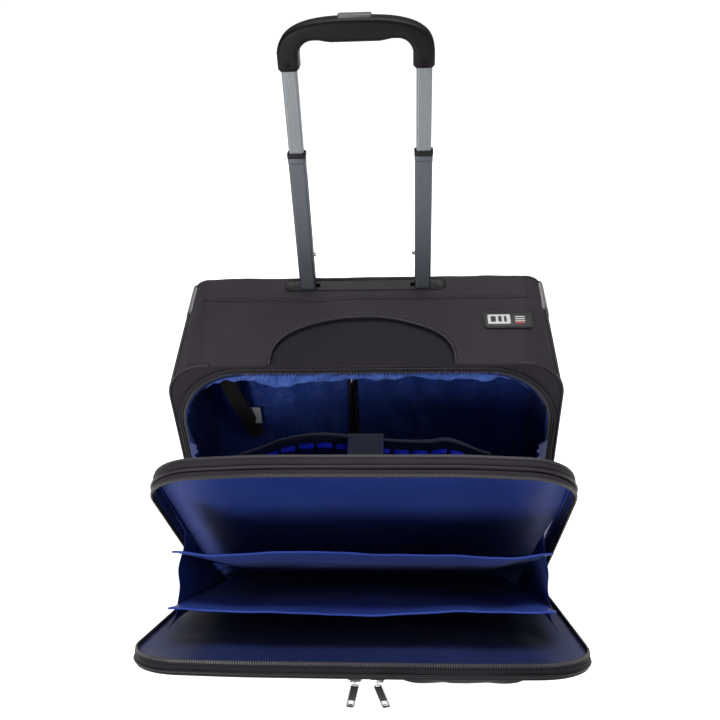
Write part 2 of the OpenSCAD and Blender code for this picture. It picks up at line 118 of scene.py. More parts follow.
class Finish:
    def __init__(self, name):
        self.material = bpy.data.materials.new(name)
        self.material.use_nodes = True
        self.tree = self.material.node_tree
        self.shader = self.tree.nodes["Principled BSDF"]

    def node(self, kind, settings=None, sockets=None, take=0):
        made = self.tree.nodes.new("ShaderNode" + kind)
        for key, value in (settings or {}).items():
            if key == "stops":
                for stop, (place, tone) in zip(made.color_ramp.elements, value):
                    stop.position, stop.color = place, tone
            else:
                setattr(made, key, value)
        for key, value in (sockets or {}).items():
            self.join(value, made.inputs[key])
        return Value(self, made.outputs[take])

    def join(self, value, socket):
        if isinstance(value, Value):
            self.tree.links.new(value.socket, socket)
        else:
            socket.default_value = value

    def surface(self, sockets):
        for key, value in sockets.items():
            self.join(value, self.shader.inputs[key])
        return self.material

    def place(self, kind="Object"):
        return self.node("TexCoord", take=kind)

    def axes(self, place):
        made = self.tree.nodes.new("ShaderNodeSeparateXYZ")
        self.join(place, made.inputs[0])
        return [Value(self, out) for out in made.outputs]

    def grain(self, place, scale, detail=2.0, rough=0.5):
        return self.node("TexNoise", None, {"Vector": place, "Scale": scale,
                                            "Detail": detail, "Roughness": rough})

    def between(self, share, first, second):
        return self.node("Mix", {"data_type": "RGBA"}, {0: share, 6: first, 7: second}, 2)

    def ramp(self, value, low, high, fromTo=(0.0, 1.0)):
        return self.node("MapRange", {"clamp": True}, {0: value, 1: low, 2: high,
                                                       3: fromTo[0], 4: fromTo[1]})

    def bump(self, height, strength, distance):
        return self.node("Bump", None, {"Strength": strength, "Distance": distance,
                                        "Height": height})


def tone(red, green, blue):  # a display colour from 0 to 255, as the shader wants it
    return tuple(((c / 255 + 0.055) / 1.055) ** 2.4 if c > 10 else c / 255 / 12.92
                 for c in (red, green, blue)) + (1.0,)


# woven cloth: threads follow the piece's own map, in metres
def wovenCloth(name, main, worn, pitch, rough, sheen, depth, crease=0.0, creaseSize=18.0):
    f = Finish(name)
    across, along, _ = f.axes(f.place("UV"))
    turn = 2 * math.pi / pitch
    weave = (across * turn).wave() * (along * turn).wave()
    body = f.place()
    cloudy = f.grain(body, 9.0, 4.0, 0.6)
    fine = f.grain(body, 420.0, 2.0, 0.6)
    height = weave * 0.5 + fine * 0.35
    if crease:
        folds = f.grain(body, creaseSize, 3.0, 0.55)
        height = height * (pitch * 0.3) + (folds - 0.5).size() * crease
        normal = f.bump(height, 0.8, 1.0)
    else:
        normal = f.bump(height, 0.55, depth)
    colour = f.between(f.ramp(cloudy + weave * 0.10 + fine * 0.2, 0.42, 0.95), main, worn)
    roughness = f.ramp(cloudy + fine * 0.3, 0.3, 1.0, (rough - 0.07, rough + 0.08))
    return f.surface({"Base Color": colour, "Roughness": roughness, "Normal": normal,
                      "Sheen Weight": sheen, "Sheen Roughness": 0.45,
                      "Specular IOR Level": 0.22})


def moulded(name, main, worn, rough, grainSize=900.0, depth=0.00012, metal=0.0, shine=0.5):
    f = Finish(name)
    body = f.place()
    speck = f.grain(body, grainSize, 2.0, 0.6)
    cloudy = f.grain(body, 22.0, 4.0, 0.65)
    scuff = f.ramp(f.grain(body, 75.0, 6.0, 0.8), 0.56, 0.78)
    colour = f.between(cloudy * 0.5 + scuff * 0.5, main, worn)
    return f.surface({"Base Color": colour, "Roughness": f.ramp(cloudy + scuff * 0.4, 0.3, 1.1,
            (rough - 0.05, rough + 0.12)),
                      "Metallic": metal, "Specular IOR Level": shine,
                      "Normal": f.bump(speck, 0.35, depth)})


# drawn tube: fine lines along its length
def drawnMetal(name, main, worn, rough):
    f = Finish(name)
    body = f.place()
    stretch = f.node("Mapping", None, {"Vector": body, "Scale": (1.0, 1.0, 0.015)})
    lines = f.grain(stretch, 1500.0, 3.0, 0.7)
    cloudy = f.grain(body, 16.0, 3.0, 0.6)
    rub = f.ramp(f.grain(stretch, 260.0, 4.0, 0.8), 0.55, 0.8)
    colour = f.between(lines * 0.55 + rub * 0.35, main, worn)
    return f.surface({"Base Color": colour, "Metallic": 0.75,
                      "Roughness": f.ramp(lines + cloudy * 0.4, 0.3, 1.1, (rough - 0.05, rough + 0.1)),
                      "Normal": f.bump(lines, 0.25, 0.00006)})


# tape and webbing: ribs across the strip
def ribbedTape(name, main, worn, pitch, rough, depth, sheen=0.1):
    f = Finish(name)
    across, along, _ = f.axes(f.place("UV"))
    ribs = (along * (2 * math.pi / pitch)).wave() * 0.5 + 0.5
    rows = (across * (2 * math.pi / (pitch * 0.8)) + ribs * 1.5).wave() * 0.5 + 0.5
    fine = f.grain(f.place(), 520.0, 2.0, 0.6)
    height = ribs * 0.6 + rows * 0.4 + fine * 0.4
    colour = f.between(f.ramp(height, 0.3, 1.3), main, worn)
    return f.surface({"Base Color": colour, "Roughness": f.ramp(fine, 0.3, 0.8, (rough, rough + 0.1)),
                      "Normal": f.bump(height, 0.6, depth), "Sheen Weight": sheen})


black = wovenCloth("blackNylon", tone(43, 38, 45), tone(57, 51, 58), 0.0011, 0.70, 0.05, 0.00022)
# a darker copy of the black nylon: painted shade for the recessed slip pocket and the down-facing flap rim
blackNylonPaintedShade = wovenCloth("blackPocketCloth", tone(29, 26, 32), tone(40, 36, 43), 0.0009, 0.74, 0.03,
                        0.00018)
blue = wovenCloth("blueLining", tone(34, 58, 140), tone(50, 76, 160), 0.0005, 0.44, 0.05, 0.0001)
# a lighter, glossier copy of the blue lining for the curtain under the zip: painted light, its second tone
# a painted highlight; the crinkle bumps are real
blueCurtainPaintedLight = wovenCloth("blueCrinkledLining", tone(58, 96, 190), tone(104, 138, 222), 0.0005, 0.22,
        0.08,
                          0.0001, 0.011, 70.0)
# a darker copy of the blue lining: painted shade for lining that lies deeper in
blueLiningPaintedShade = wovenCloth("blueBackLining", tone(22, 36, 88), tone(36, 54, 116), 0.0005, 0.28, 0.03,
                        0.0001, 0.004, 26.0)
blueEdge = wovenCloth("blueEdgeBinding", tone(40, 66, 160), tone(58, 86, 184), 0.0006, 0.5, 0.08,
                      0.0001)
# a darker copy of the cobalt padding for the ribs' sides: painted shade
cobaltPaintedShade = wovenCloth("cobaltPaddingSides", tone(8, 14, 74), tone(14, 22, 96), 0.0007, 0.6, 0.02,
                        0.00012)
blueBack = wovenCloth("blueMainLining", tone(38, 64, 146), tone(64, 92, 180), 0.0005, 0.26, 0.04,
                      0.0001, 0.006, 30.0)
cobalt = wovenCloth("cobaltPadding", tone(20, 46, 232), tone(40, 70, 248), 0.0007, 0.5, 0.1, 0.00012)
navy = wovenCloth("navyTrim", tone(28, 31, 48), tone(40, 43, 62), 0.0008, 0.78, 0.05, 0.00016)
gussetBlue = wovenCloth("gussetCloth", tone(22, 40, 100), tone(34, 56, 124), 0.0005, 0.48, 0.03, 0.0001)
# a darker, greyer copy of the blue lining for the flap's inner face: painted shade
flapLiningPaintedShade = wovenCloth("blueFlapLining", tone(24, 36, 84), tone(36, 50, 104), 0.0005, 0.52, 0.04,
                       0.0001)
tape = ribbedTape("zipTape", tone(34, 31, 35), tone(52, 48, 52), 0.0012, 0.7, 0.0002, 0.04)
webbing = ribbedTape("strapWebbing", tone(16, 15, 17), tone(32, 30, 33), 0.0022, 0.62, 0.0004)
teeth = moulded("zipTeeth", tone(78, 76, 79), tone(118, 116, 118), 0.42, 1200.0)
cord = moulded("vinylPiping", tone(44, 39, 44), tone(60, 54, 60), 0.46, 700.0, 0.00012, 0.0, 0.3)
# near-black finish for a bar laid in the top seam's groove: painted shadow
seamShadowBar = moulded("seamShadow", tone(14, 13, 15), tone(24, 22, 25), 0.7, 700.0)
thread = moulded("stitchThread", tone(66, 62, 68), tone(86, 82, 88), 0.7, 1500.0)
blackPlastic = moulded("blackPlastic", tone(20, 18, 21), tone(32, 30, 33), 0.48, 900.0, 0.00018, 0.0,
                       0.25)
gripPlastic = moulded("gripPlastic", tone(19, 15, 20), tone(27, 23, 28), 0.46, 800.0, 0.00014, 0.0,
                      0.16)
greyPlastic = moulded("greyPlastic", tone(98, 94, 98), tone(128, 124, 128), 0.40, 800.0, 0.00015)
darkTube = drawnMetal("darkTube", tone(84, 88, 95), tone(108, 112, 118), 0.42)
lightTube = drawnMetal("lightTube", tone(126, 130, 134), tone(158, 162, 165), 0.44)
steel = moulded("brightSteel", tone(186, 188, 190), tone(212, 214, 216), 0.24, 1500.0, 0.00004, 1.0)
nickel = moulded("nickelEdge", tone(168, 166, 162), tone(206, 204, 198), 0.22, 1400.0, 0.00003, 1.0)
enamel = moulded("darkEnamel", tone(12, 11, 13), tone(22, 21, 24), 0.5, 600.0, 0.00006, 0.0, 0.15)
tyreRubber = moulded("wheelRubber", tone(34, 35, 37), tone(62, 62, 62), 0.62, 520.0, 0.0003)
patchRubber = moulded("patchRubber", tone(30, 28, 30), tone(42, 40, 42), 0.55, 700.0, 0.00012)
palePrint = moulded("palePrint", tone(206, 204, 204), tone(224, 222, 222), 0.55, 700.0, 0.0001)
redPrint = moulded("redPrint", tone(176, 62, 58), tone(196, 84, 78), 0.55, 700.0, 0.0001)
labelCloth = wovenCloth("careLabel", tone(206, 208, 214), tone(228, 229, 233), 0.0004, 0.7, 0.1,
                        0.00008)
floorTone = moulded("paleFloor", tone(244, 244, 244), tone(247, 247, 247), 0.8, 40.0, 0.00002)
floorGlow = floorTone.node_tree.nodes["Principled BSDF"].inputs
floorGlow["Emission Color"].default_value = (1, 1, 1, 1)
floorGlow["Emission Strength"].default_value = 0.9

print("finishes made")


# spaces: millimetres in the body, the section and the flap

mm = Matrix.Scale(0.001, 4)


def hingeSpace(joint, lean):
    return Matrix.Translation(joints[joint]["pos_m"]) @ Matrix.Rotation(math.radians(lean), 4, "X") @ mm


sectionLean = joints["section_hinge"]["range_deg"][1]
flapLean = sectionLean + joints["flap_hinge"]["range_deg"][1]
inSection = hingeSpace("section_hinge", sectionLean)
inFlap = hingeSpace("flap_hinge", flapLean)

bodySize = dict(front=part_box("front_frame")[0].y * 1000, back=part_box("back_panel")[1].y * 1000,
                low=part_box("side_panel_left")[0].z * 1000, half=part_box("side_panel_right")[1].x * 1000,
                taper=10, frontTop=396, rise=36, frontRadius=45, backRadius=22, mouth=5, mouthRadius=84)
bodySize["slope"] = math.atan2(bodySize["rise"], bodySize["back"] - bodySize["front"])


# mesh helpers

sides = ((-1, "left"), (1, "right"))


def boxSize(node):  # a frame piece's low and high corners in millimetres
    return [corner * 1000 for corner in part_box(node)]


def takeAway(bm, test):  # drops the faces whose middle passes a test
    gone = [face for face in bm.faces if test(face.calc_center_median())]
    bmesh.ops.delete(bm, geom=gone, context="FACES")

def soft(x, y, z, size, amount):  # slow, even unevenness of cloth
    return noise.noise(Vector((x, y, z)) / size) * amount


def smooth(low, high, value):
    t = min(1.0, max(0.0, (value - low) / (high - low)))
    return t * t * (3 - 2 * t)


def hump(value, centre, width):
    return math.exp(-((value - centre) / width) ** 2)


# a grid of cloth: place(u, v) gives a point in millimetres and its place on the flat cut
def clothGrid(across, along, place, bm=None):
    bm = bm or bmesh.new()
    made = bmesh.ops.create_grid(bm, x_segments=across, y_segments=along, size=0.5)
    layer = bm.loops.layers.uv.verify()
    flat = {}
    for vert in made["verts"]:
        point, cut = place(vert.co.x + 0.5, vert.co.y + 0.5)
        vert.co = Vector(point)
        flat[vert] = (cut[0] * 0.001, cut[1] * 0.001)
    for face in {face for vert in made["verts"] for face in vert.link_faces}:
        for loop in face.loops:
            loop[layer].uv = flat[loop.vert]
    return bm


def turnOut(bm, facing=None, centre=None):  # makes a sheet's faces look one way
    total = 0.0
    for face in bm.faces:
        face.normal_update()
        way = Vector(facing) if facing else face.calc_center_median() - Vector(centre)
        total += face.normal.dot(way) * face.calc_area()
    if total < 0:
        bmesh.ops.reverse_faces(bm, faces=bm.faces[:])


def roundBar(bm, points, radius, closed=False, ring=2):  # a round bar along points
    data = bpy.data.curves.new("bar", "CURVE")
    data.dimensions = "3D"
    data.bevel_depth = radius
    data.bevel_resolution = ring
    data.use_fill_caps = not closed
    spline = data.splines.new("POLY")
    spline.points.add(len(points) - 1)
    for spot, point in zip(spline.points, points):
        spot.co = (*point, 1)
    spline.use_cyclic_u = closed
    holder = bpy.data.objects.new("bar", data)
    mesh = bpy.data.meshes.new_from_object(holder)
    bm.from_mesh(mesh)
    bpy.data.objects.remove(holder)
    bpy.data.curves.remove(data)
    bpy.data.meshes.remove(mesh)
    return bm


def blockRow(bm, spots, size, taper=0.7):  # a row of small blocks, each with its own axes
    for matrix in spots:
        made = bmesh.ops.create_cube(bm, size=1.0)["verts"]
        for vert in made:
            if vert.co.z > 0:
                vert.co.x *= taper
                vert.co.y *= taper
            vert.co = matrix @ Vector((vert.co.x * size[0], vert.co.y * size[1], vert.co.z * size[2]))
    return bm


def axesAt(point, along, up):  # a matrix with x along a line and z up
    x = Vector(along).normalized()
    z = (Vector(up) - x * x.dot(Vector(up))).normalized()
    y = z.cross(x)
    turn = Matrix((x, y, z)).transposed().to_4x4()
    return Matrix.Translation(point) @ turn


def stitches(bm, points, up, pitch=4.2, length=2.9, thick=0.7):  # a row of stitches along points
    line = Line(points)
    count = max(2, int(line.length / pitch))
    spots = []
    for i in range(count):
        here, way = line.at((i + 0.5) / count)
        normal = up(here) if callable(up) else up
        spots.append(axesAt(here, way, normal))
    return blockRow(bm, spots, (length, thick, thick), 0.8)


class Line:  # a line through points, followed by its length
    def __init__(self, points, closed=False):
        self.points = [Vector(p) for p in points] + ([Vector(points[0])] if closed else [])
        self.marks = [0.0]
        for a, b in zip(self.points, self.points[1:]):
            self.marks.append(self.marks[-1] + (b - a).length)
        self.length = self.marks[-1]

    def at(self, share):
        want = min(max(share, 0.0), 1.0) * self.length
        low, high = 0, len(self.marks) - 1
        while high - low > 1:
            middle = (low + high) // 2
            if self.marks[middle] <= want:
                low = middle
            else:
                high = middle
        a, b = self.points[low], self.points[high]
        part = (want - self.marks[low]) / max(1e-9, self.marks[high] - self.marks[low])
        return a.lerp(b, part), (b - a).normalized()


def finishPiece(name, bm, space, finish, body, nodes=(), thick=0.0, offset=-1.0,
                round=0.0, rounds=2, divide=0, shade=True, blendTo=None):
    if space is inSection or space is inFlap:  # the soft rims sag towards their upper corners
        sag = 9.0 if space is inSection else 5.0
        for vert in bm.verts:
            vert.co.z -= sag * smooth(90, 220, abs(vert.co.x)) * smooth(215, 320, vert.co.z)
    bmesh.ops.transform(bm, matrix=space, verts=bm.verts[:])
    mesh = bpy.data.meshes.new(name)
    bm.to_mesh(mesh)
    bm.free()
    for finishOne in (finish if isinstance(finish, (list, tuple)) else [finish]):
        mesh.materials.append(finishOne)
    mesh.polygons.foreach_set("use_smooth", [shade] * len(mesh.polygons))
    piece = bpy.data.objects.new(name, mesh)
    scene.collection.objects.link(piece)
    if thick:
        wall = piece.modifiers.new("wall", "SOLIDIFY")
        wall.thickness, wall.offset = thick * 0.001, offset
    if round:
        edge = piece.modifiers.new("edge", "BEVEL")
        edge.width, edge.segments, edge.limit_method = round * 0.001, rounds, "ANGLE"
        edge.angle_limit = math.radians(40)
        edge.harden_normals = False
    if divide:
        fine = piece.modifiers.new("fine", "SUBSURF")
        fine.levels = fine.render_levels = divide
    if blendTo:
        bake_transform(piece)
    else:
        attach(piece, body)
    if nodes:
        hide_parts(*([nodes] if isinstance(nodes, str) else nodes))
    return piece


def bodyAt(s, y, out=0.0):  # the body's outside: s runs up the left side, over the top and down
    b = bodySize
    share = (y - b["front"]) / (b["back"] - b["front"])
    half = b["half"] - b["taper"] * share + out
    top = b["frontTop"] + b["rise"] * share + out
    radius = b["frontRadius"] + (b["backRadius"] - b["frontRadius"]) * share + out * 0.9
    side = -1 if s < 2.5 else 1
    t = s if s < 2.5 else 5 - s
    if t < 1:
        x, z = half, b["low"] + (top - radius - b["low"]) * t
    elif t < 2:
        a = (t - 1) * math.pi / 2
        x, z = half - radius + radius * math.cos(a), top - radius + radius * math.sin(a)
    else:
        x, z = (half - radius) * (1 - (t - 2) * 2), top
    return Vector((side * x, y, z))


def bodyOut(s):  # the outward direction there, without the slope
    t = s if s < 2.5 else 5 - s
    a = min(1.0, max(0.0, t - 1)) * math.pi / 2
    return Vector(((-1 if s < 2.5 else 1) * math.cos(a), 0, math.sin(a)))


def mouthAt(s, inset=0.0, y=None):  # the zipped opening's edge, with the same s
    b = bodySize
    half, radius = b["half"] - b["mouth"] - inset, b["mouthRadius"] - inset
    top = b["frontTop"] - b["mouth"] - inset
    side = -1 if s < 2.5 else 1
    t = s if s < 2.5 else 5 - s
    if t < 1:
        x, z = half, b["low"] + (top - radius - b["low"]) * t
    elif t < 2:
        a = (t - 1) * math.pi / 2
        x, z = half - radius + radius * math.cos(a), top - radius + radius * math.sin(a)
    else:
        x, z = (half - radius) * (1 - (t - 2) * 2), top
    return Vector((side * x, b["front"] if y is None else y, z))


def evenly(low, high, count):
    return [low + (high - low) * i / (count - 1) for i in range(count)]


seam = dict(side=1.34, across=bodySize["back"] - 34)  # where the side and top panels are sewn


# outer panels of the body

arch = dict(centre=-1, half=109, depth=66, foot=bodySize["front"] + 6, sink=3.4)


def archCurve(grow=0.0, count=72, foot=True):
    points = []
    if foot:
        points.append(Vector((arch["centre"] - arch["half"] - grow, bodySize["front"] + 0.5, 0)))
    for i in range(count + 1):
        a = math.pi * (1 - i / count)
        points.append(Vector((arch["centre"] + (arch["half"] + grow) * math.cos(a),
                              arch["foot"] + (arch["depth"] + grow) * max(0.0, math.sin(a)) ** 0.8, 0)))
    if foot:
        points.append(Vector((arch["centre"] + arch["half"] + grow, bodySize["front"] + 0.5, 0)))
    return points


def inArch(x, y, grow=0.0):
    across = abs(x - arch["centre"]) / (arch["half"] + grow)
    up = max(0.0, y - arch["foot"]) / (arch["depth"] + grow)
    return across ** 2 + up ** 2.5 < 1


def topHeight(x, y):  # how the soft top lies over its flat shape
    lap = 1.3 * smooth(seam["across"] - 0.9, seam["across"] + 1.4, y + 2.6 * hump(x, -62, 30))
    pull = -1.4 * hump(x, -70, 34) * hump(y, seam["across"] - 3, 7) - 0.8 * hump(x, 66, 30) * hump(y,
            seam["across"], 6)
    lift = 1.6 * hump(x, 0, 170) * hump(y, 66, 40)
    groove = -1.5 * hump(y + 2.6 * hump(x, -62, 30), seam["across"] - 1.6, 1.8)
    quiet = 1 - 0.8 * smooth(186, 204, abs(x)) * smooth(68, 80, y)
    return quiet * (lap + pull + lift + groove + soft(x, y, 0, 46, 1.1) + soft(x, y, 9, 18, 0.35))


def makeTopPanel():
    low, high = seam["side"], 5 - seam["side"]

    def place(u, v):
        s = low + (high - low) * u
        y = bodySize["front"] + (bodySize["back"] - bodySize["front"]) * v
        point = bodyAt(s, y)
        flatness = smooth(0.2, 0.9, abs(bodyOut(s).z))
        point += bodyOut(s) * topHeight(point.x, y) * flatness * smooth(-16, -6, y)
        return point, ((u - 0.5) * 520, v * 145)

    bm = clothGrid(190, 58, place)
    gone = []
    for face in bm.faces:
        c = face.calc_center_median()
        inBezel = abs(c.x) < 97 and abs(c.y - 111) < 8
        if abs(bodyOutAt(c)) > 0.99 and (inArch(c.x, c.y) or inBezel):
            gone.append(face)
    bmesh.ops.delete(bm, geom=gone, context="FACES")
    edge = Line(archCurve())
    spots = [edge.at(i / 600)[0] for i in range(601)]
    for vert in bm.verts:
        if vert.is_boundary and bodySize["front"] + 1 < vert.co.y < 80 and abs(vert.co.x) < 150:
            near = min(spots, key=lambda p: (p.x - vert.co.x) ** 2 + (p.y - vert.co.y) ** 2)
            vert.co.x, vert.co.y = near.x, near.y
    for vert in bm.verts:
        if vert.is_boundary and vert.co.z > 380 and abs(vert.co.x) < 150 and vert.co.y < 80:
            vert.co.z = topZ(vert.co.x, vert.co.y)
    turnOut(bm, centre=(0, 60, 200))
    return finishPiece("topPanel", bm, mm, black, "case_body", "top_panel", thick=1.8)


def bodyOutAt(c):  # 1 on the flat top, less round the corners
    b = bodySize
    share = (c.y - b["front"]) / (b["back"] - b["front"])
    radius = b["frontRadius"] + (b["backRadius"] - b["frontRadius"]) * share
    past = abs(c.x) - (b["half"] - b["taper"] * share - radius)
    return 1.0 if past <= 0 else max(0.0, 1 - past / radius)


def topZ(x, y):
    b = bodySize
    share = (y - b["front"]) / (b["back"] - b["front"])
    return b["frontTop"] + b["rise"] * share + topHeight(x, y) * smooth(-16, -6, y)


def makeSlipPocket():
    def place(u, v):
        x = arch["centre"] + (u - 0.5) * 2 * (arch["half"] + 5)
        y = bodySize["front"] + 0.6 + v * (arch["depth"] + 10)
        dip = arch["sink"] - 1.2 * hump(x, 0, 70) * hump(y, 14, 26)
        z = topZ(x, y) - dip * smooth(-16, -3, y) - 0.6 + soft(x, y, 4, 26, 0.7)
        return (x, y, z), (x, y)

    bm = clothGrid(72, 26, place)
    takeAway(bm, lambda c: not inArch(c.x, c.y, 5))
    turnOut(bm, facing=(0, 0, 1))
    # the pocket's inner panel takes the darker nylon copy: painted shade in the recess
    finishPiece("slipPocket", bm, mm, blackNylonPaintedShade, "case_body", "slip_pocket", thick=1.0)

    bm = bmesh.new()
    roundBar(bm, [Vector((p.x, p.y, topZ(p.x, p.y) + 0.2)) for p in archCurve(0.6)], 1.7, ring=3)
    finishPiece("archPiping", bm, mm, cord, "case_body")
    # a near-black bar along the top seam: painted shadow in the seam's groove
    bm = bmesh.new()
    line = [Vector((x, seam["across"] - 1.4 - 2.6 * hump(x, -62, 30), 0)) for x in evenly(-203, 203,
            120)]
    roundBar(bm, [Vector((p.x, p.y, topZ(p.x, p.y) + 0.3)) for p in line], 0.9, ring=2)
    finishPiece("topSeam", bm, mm, seamShadowBar, "case_body")
    bm = bmesh.new()
    stitches(bm, [Vector((p.x, p.y + 4.2, topZ(p.x, p.y + 4.2) + 0.15)) for p in line], (0, 0, 1))
    finishPiece("topSeamStitching", bm, mm, thread, "case_body")
    bm = bmesh.new()
    for grow in (4.4, 7.0):
        stitches(bm, [Vector((p.x, p.y, topZ(p.x, p.y) + 0.15)) for p in archCurve(grow, foot=False)],
                 (0, 0, 1))
    finishPiece("archStitching", bm, mm, thread, "case_body")


def sidePoint(side, u, v, lift=0.0):
    s = seam["side"] * v
    y = bodySize["front"] + (bodySize["back"] - bodySize["front"]) * u
    bulge = 3.0 * math.sin(math.pi * u) * math.sin(math.pi * min(1.0, v * 0.93 + 0.04))
    ease = smooth(0, 0.08, u) * smooth(1, 0.92, u) * smooth(0, 0.05, v) * smooth(1, 0.95, v)
    out = bulge + ease * (soft(side * 50, y, s * 300, 60, 1.8) + soft(side * 9, y, s * 300, 22,
            0.5)) + lift
    point = bodyAt(s, y) + bodyOut(s) * out
    return Vector((side * -point.x, point.y, point.z))


def makeSidePanel(side, name, node):
    def place(u, v):
        return sidePoint(side, u, v), (u * 140, v * 375)

    bm = clothGrid(44, 96, place)
    takeAway(bm, lambda c: c.y > 56 and c.z < 79)  # room for the wheel housing
    turnOut(bm, facing=(side, 0, 0))
    finishPiece(name, bm, mm, black, "case_body", node, thick=2.2)


def makeBackPanel():
    b = bodySize

    def flatPlace(u, v):
        z = b["low"] + (b["frontTop"] + b["rise"] - 0.5 - b["low"]) * v
        radius, top = b["backRadius"], b["frontTop"] + b["rise"] - 0.5
        half = b["half"] - b["taper"] - 0.5
        if z > top - radius:
            half = half - radius + math.sqrt(max(0.0, radius ** 2 - (z - top + radius) ** 2))
        x = (u - 0.5) * 2 * half
        edge = min(1 - abs(u - 0.5) * 2, 1 - v, v + 0.02)
        out = -2.0 * (1 - smooth(0, 0.05, edge)) + (soft(x, 0, z, 60, 1.2) + 0.2) * smooth(0, 0.1, edge)
        return (x, b["back"] - 0.5 + out, z), (x, z)

    bm = clothGrid(90, 78, flatPlace)
    takeAway(bm, lambda c: (abs(c.x) > 178 and c.z < 80) or (abs(c.x) < 98 and c.z > 427))
    turnOut(bm, facing=(0, 1, 0))
    finishPiece("backPanel", bm, mm, black, "case_body", "back_panel", thick=2.4)
    bm = bmesh.new()
    ring = [Vector((x * 150, b["back"] + 0.2, z)) for x, z in
            [(-1, 100), (-1, 372), (-0.93, 384), (0.93, 384), (1, 372), (1, 100), (0.93, 90),
             (-0.93, 90), (-1, 100)]]
    line = Line(ring)
    stitches(bm, [line.at(i / 200)[0] for i in range(201)], (0, 1, 0))
    finishPiece("backStitching", bm, mm, thread, "case_body")


def makeFrontFrame():
    def place(u, v):
        s = 5 * u
        inner, outer = mouthAt(s, -0.2), bodyAt(s, bodySize["front"], -0.6)
        point = inner.lerp(outer, v)
        point.y = bodySize["front"] - 0.9 * math.sin(math.pi * v) + 0.4
        return point, (u * 1250, v * 12)

    bm = clothGrid(240, 6, place)
    turnOut(bm, facing=(0, -1, 0))
    finishPiece("frontFrame", bm, mm, black, "case_body", "front_frame", thick=1.6)


def makeBodyPiping():
    for side, word in sides:
        bm = bmesh.new()
        roundBar(bm, [sidePoint(side, u, 1.0, 0.9) for u in evenly(0, 1, 40)], 1.9, ring=3)
        front = [bodyAt(s, bodySize["front"] + 0.8, 0.4) for s in evenly(0.02, 2.02, 90)]
        roundBar(bm, [Vector((-side * p.x, p.y, p.z)) for p in front], 1.9, ring=3)
        back = [bodyAt(s, bodySize["back"] - 1.6, 0.1) for s in evenly(0.1, 2.5, 100)]
        roundBar(bm, [Vector((-side * p.x, p.y, p.z)) for p in back], 1.8, ring=3)
        finishPiece("bodyPiping_" + word, bm, mm, cord, "case_body")
        bm = bmesh.new()
        stitches(bm, [bodyAt(seam["side"] + 0.16, y, 0.35) if side < 0 else
                      Vector((-bodyAt(seam["side"] + 0.16, y, 0.35).x, y, bodyAt(seam["side"] + 0.16, y,
                              0.35).z))
                      for y in evenly(-10, 76, 40)], lambda p: Vector((side * 0.7, 0, 0.7)))
        finishPiece("sideStitching_" + word, bm, mm, thread, "case_body")


def makeGuard(side, name, node):
    def place(u, v):
        s = 0.94 + 1.07 * u
        y = 80 + 44 * v
        cap = smooth(0, 0.10, u) * smooth(1, 0.93, u) * smooth(0, 0.12, v)
        tuck = smooth(1.40, 1.50, s)  # its upper part goes under the top panel
        point = bodyAt(s, y) + bodyOut(s) * ((1.5 + 1.9 * cap) * (1 - tuck) - 2.4 * tuck)
        return (-side * point.x, point.y, point.z), (u * 55, v * 44)

    bm = clothGrid(40, 24, place)
    turnOut(bm, facing=(side, 0, 1))
    finishPiece(name, bm, mm, greyPlastic, "case_body", node, thick=1.2, round=0.4)
    bm = bmesh.new()  # the folded end of the piping under the guard
    ends = [bodyAt(s, y, 1.2) for s, y in ((0.99, 77), (0.985, 82), (0.98, 88))]
    roundBar(bm, [Vector((-side * p.x, p.y, p.z)) for p in ends], 3.0, ring=3)
    finishPiece("guardTab_" + name[-5:].strip("_"), bm, mm, blackPlastic, "case_body")


def makeBadge():
    b = bodySize
    size = dict(width=58, depth=27, corner=5, x=b["half"] - 60, y=b["front"] + 66, rim=1.2)
    at = Matrix.Translation((size["x"], size["y"], b["frontTop"] + 66 * math.tan(b["slope"]) + 1.0)) \
        @ Matrix.Rotation(b["slope"], 4, "X")
    bm = bmesh.new()
    roundedPlate(bm, size["width"], size["depth"], size["corner"], 0, 1.6)
    edge = roundedOutline(size["width"] - 3.4, size["depth"] - 3.4, size["corner"] - 1.5)
    roundBar(bm, [Vector((x, y, 1.7)) for x, y in edge], 0.7, closed=True, ring=2)
    finishPiece("badge", bm, mm @ at, patchRubber, "case_body", "badge", round=0.4)
    bm = bmesh.new()
    roundedPlate(bm, 27, 15, 1.5, 1.5, 2.1, at=(-11, 0))
    for y in (3.6, 0.2, -3.2):
        roundedPlate(bm, 12, 1.5, 0.6, 1.5, 2.2, at=(14, y))
    finishPiece("badgeInlay", bm, mm @ at, palePrint, "case_body", round=0.2)
    bm = bmesh.new()
    for x, wide in ((-18, 6), (-10, 4), (-3.5, 3)):
        roundedPlate(bm, wide, 9, 0.8, 2.0, 2.4, at=(x, 0))
    finishPiece("badgeBars", bm, mm @ at, patchRubber, "case_body", round=0.15)
    bm = bmesh.new()
    roundedPlate(bm, 12, 2.2, 0.8, 1.5, 2.2, at=(14, -6.2))
    finishPiece("badgeAccent", bm, mm @ at, redPrint, "case_body", round=0.2)


def roundedOutline(width, depth, corner, cuts=5):
    points = []
    for cx, cy, start in ((1, 1, 0), (-1, 1, 90), (-1, -1, 180), (1, -1, 270)):
        for i in range(cuts + 1):
            a = math.radians(start + 90 * i / cuts)
            points.append((cx * (width / 2 - corner) + corner * math.cos(a),
                           cy * (depth / 2 - corner) + corner * math.sin(a)))
    return points


def roundedPlate(bm, width, depth, corner, low, high, at=(0, 0), cuts=5):
    return plate(bm, [(x + at[0], y + at[1]) for x, y in roundedOutline(width, depth, corner, cuts)],
                 low, high)


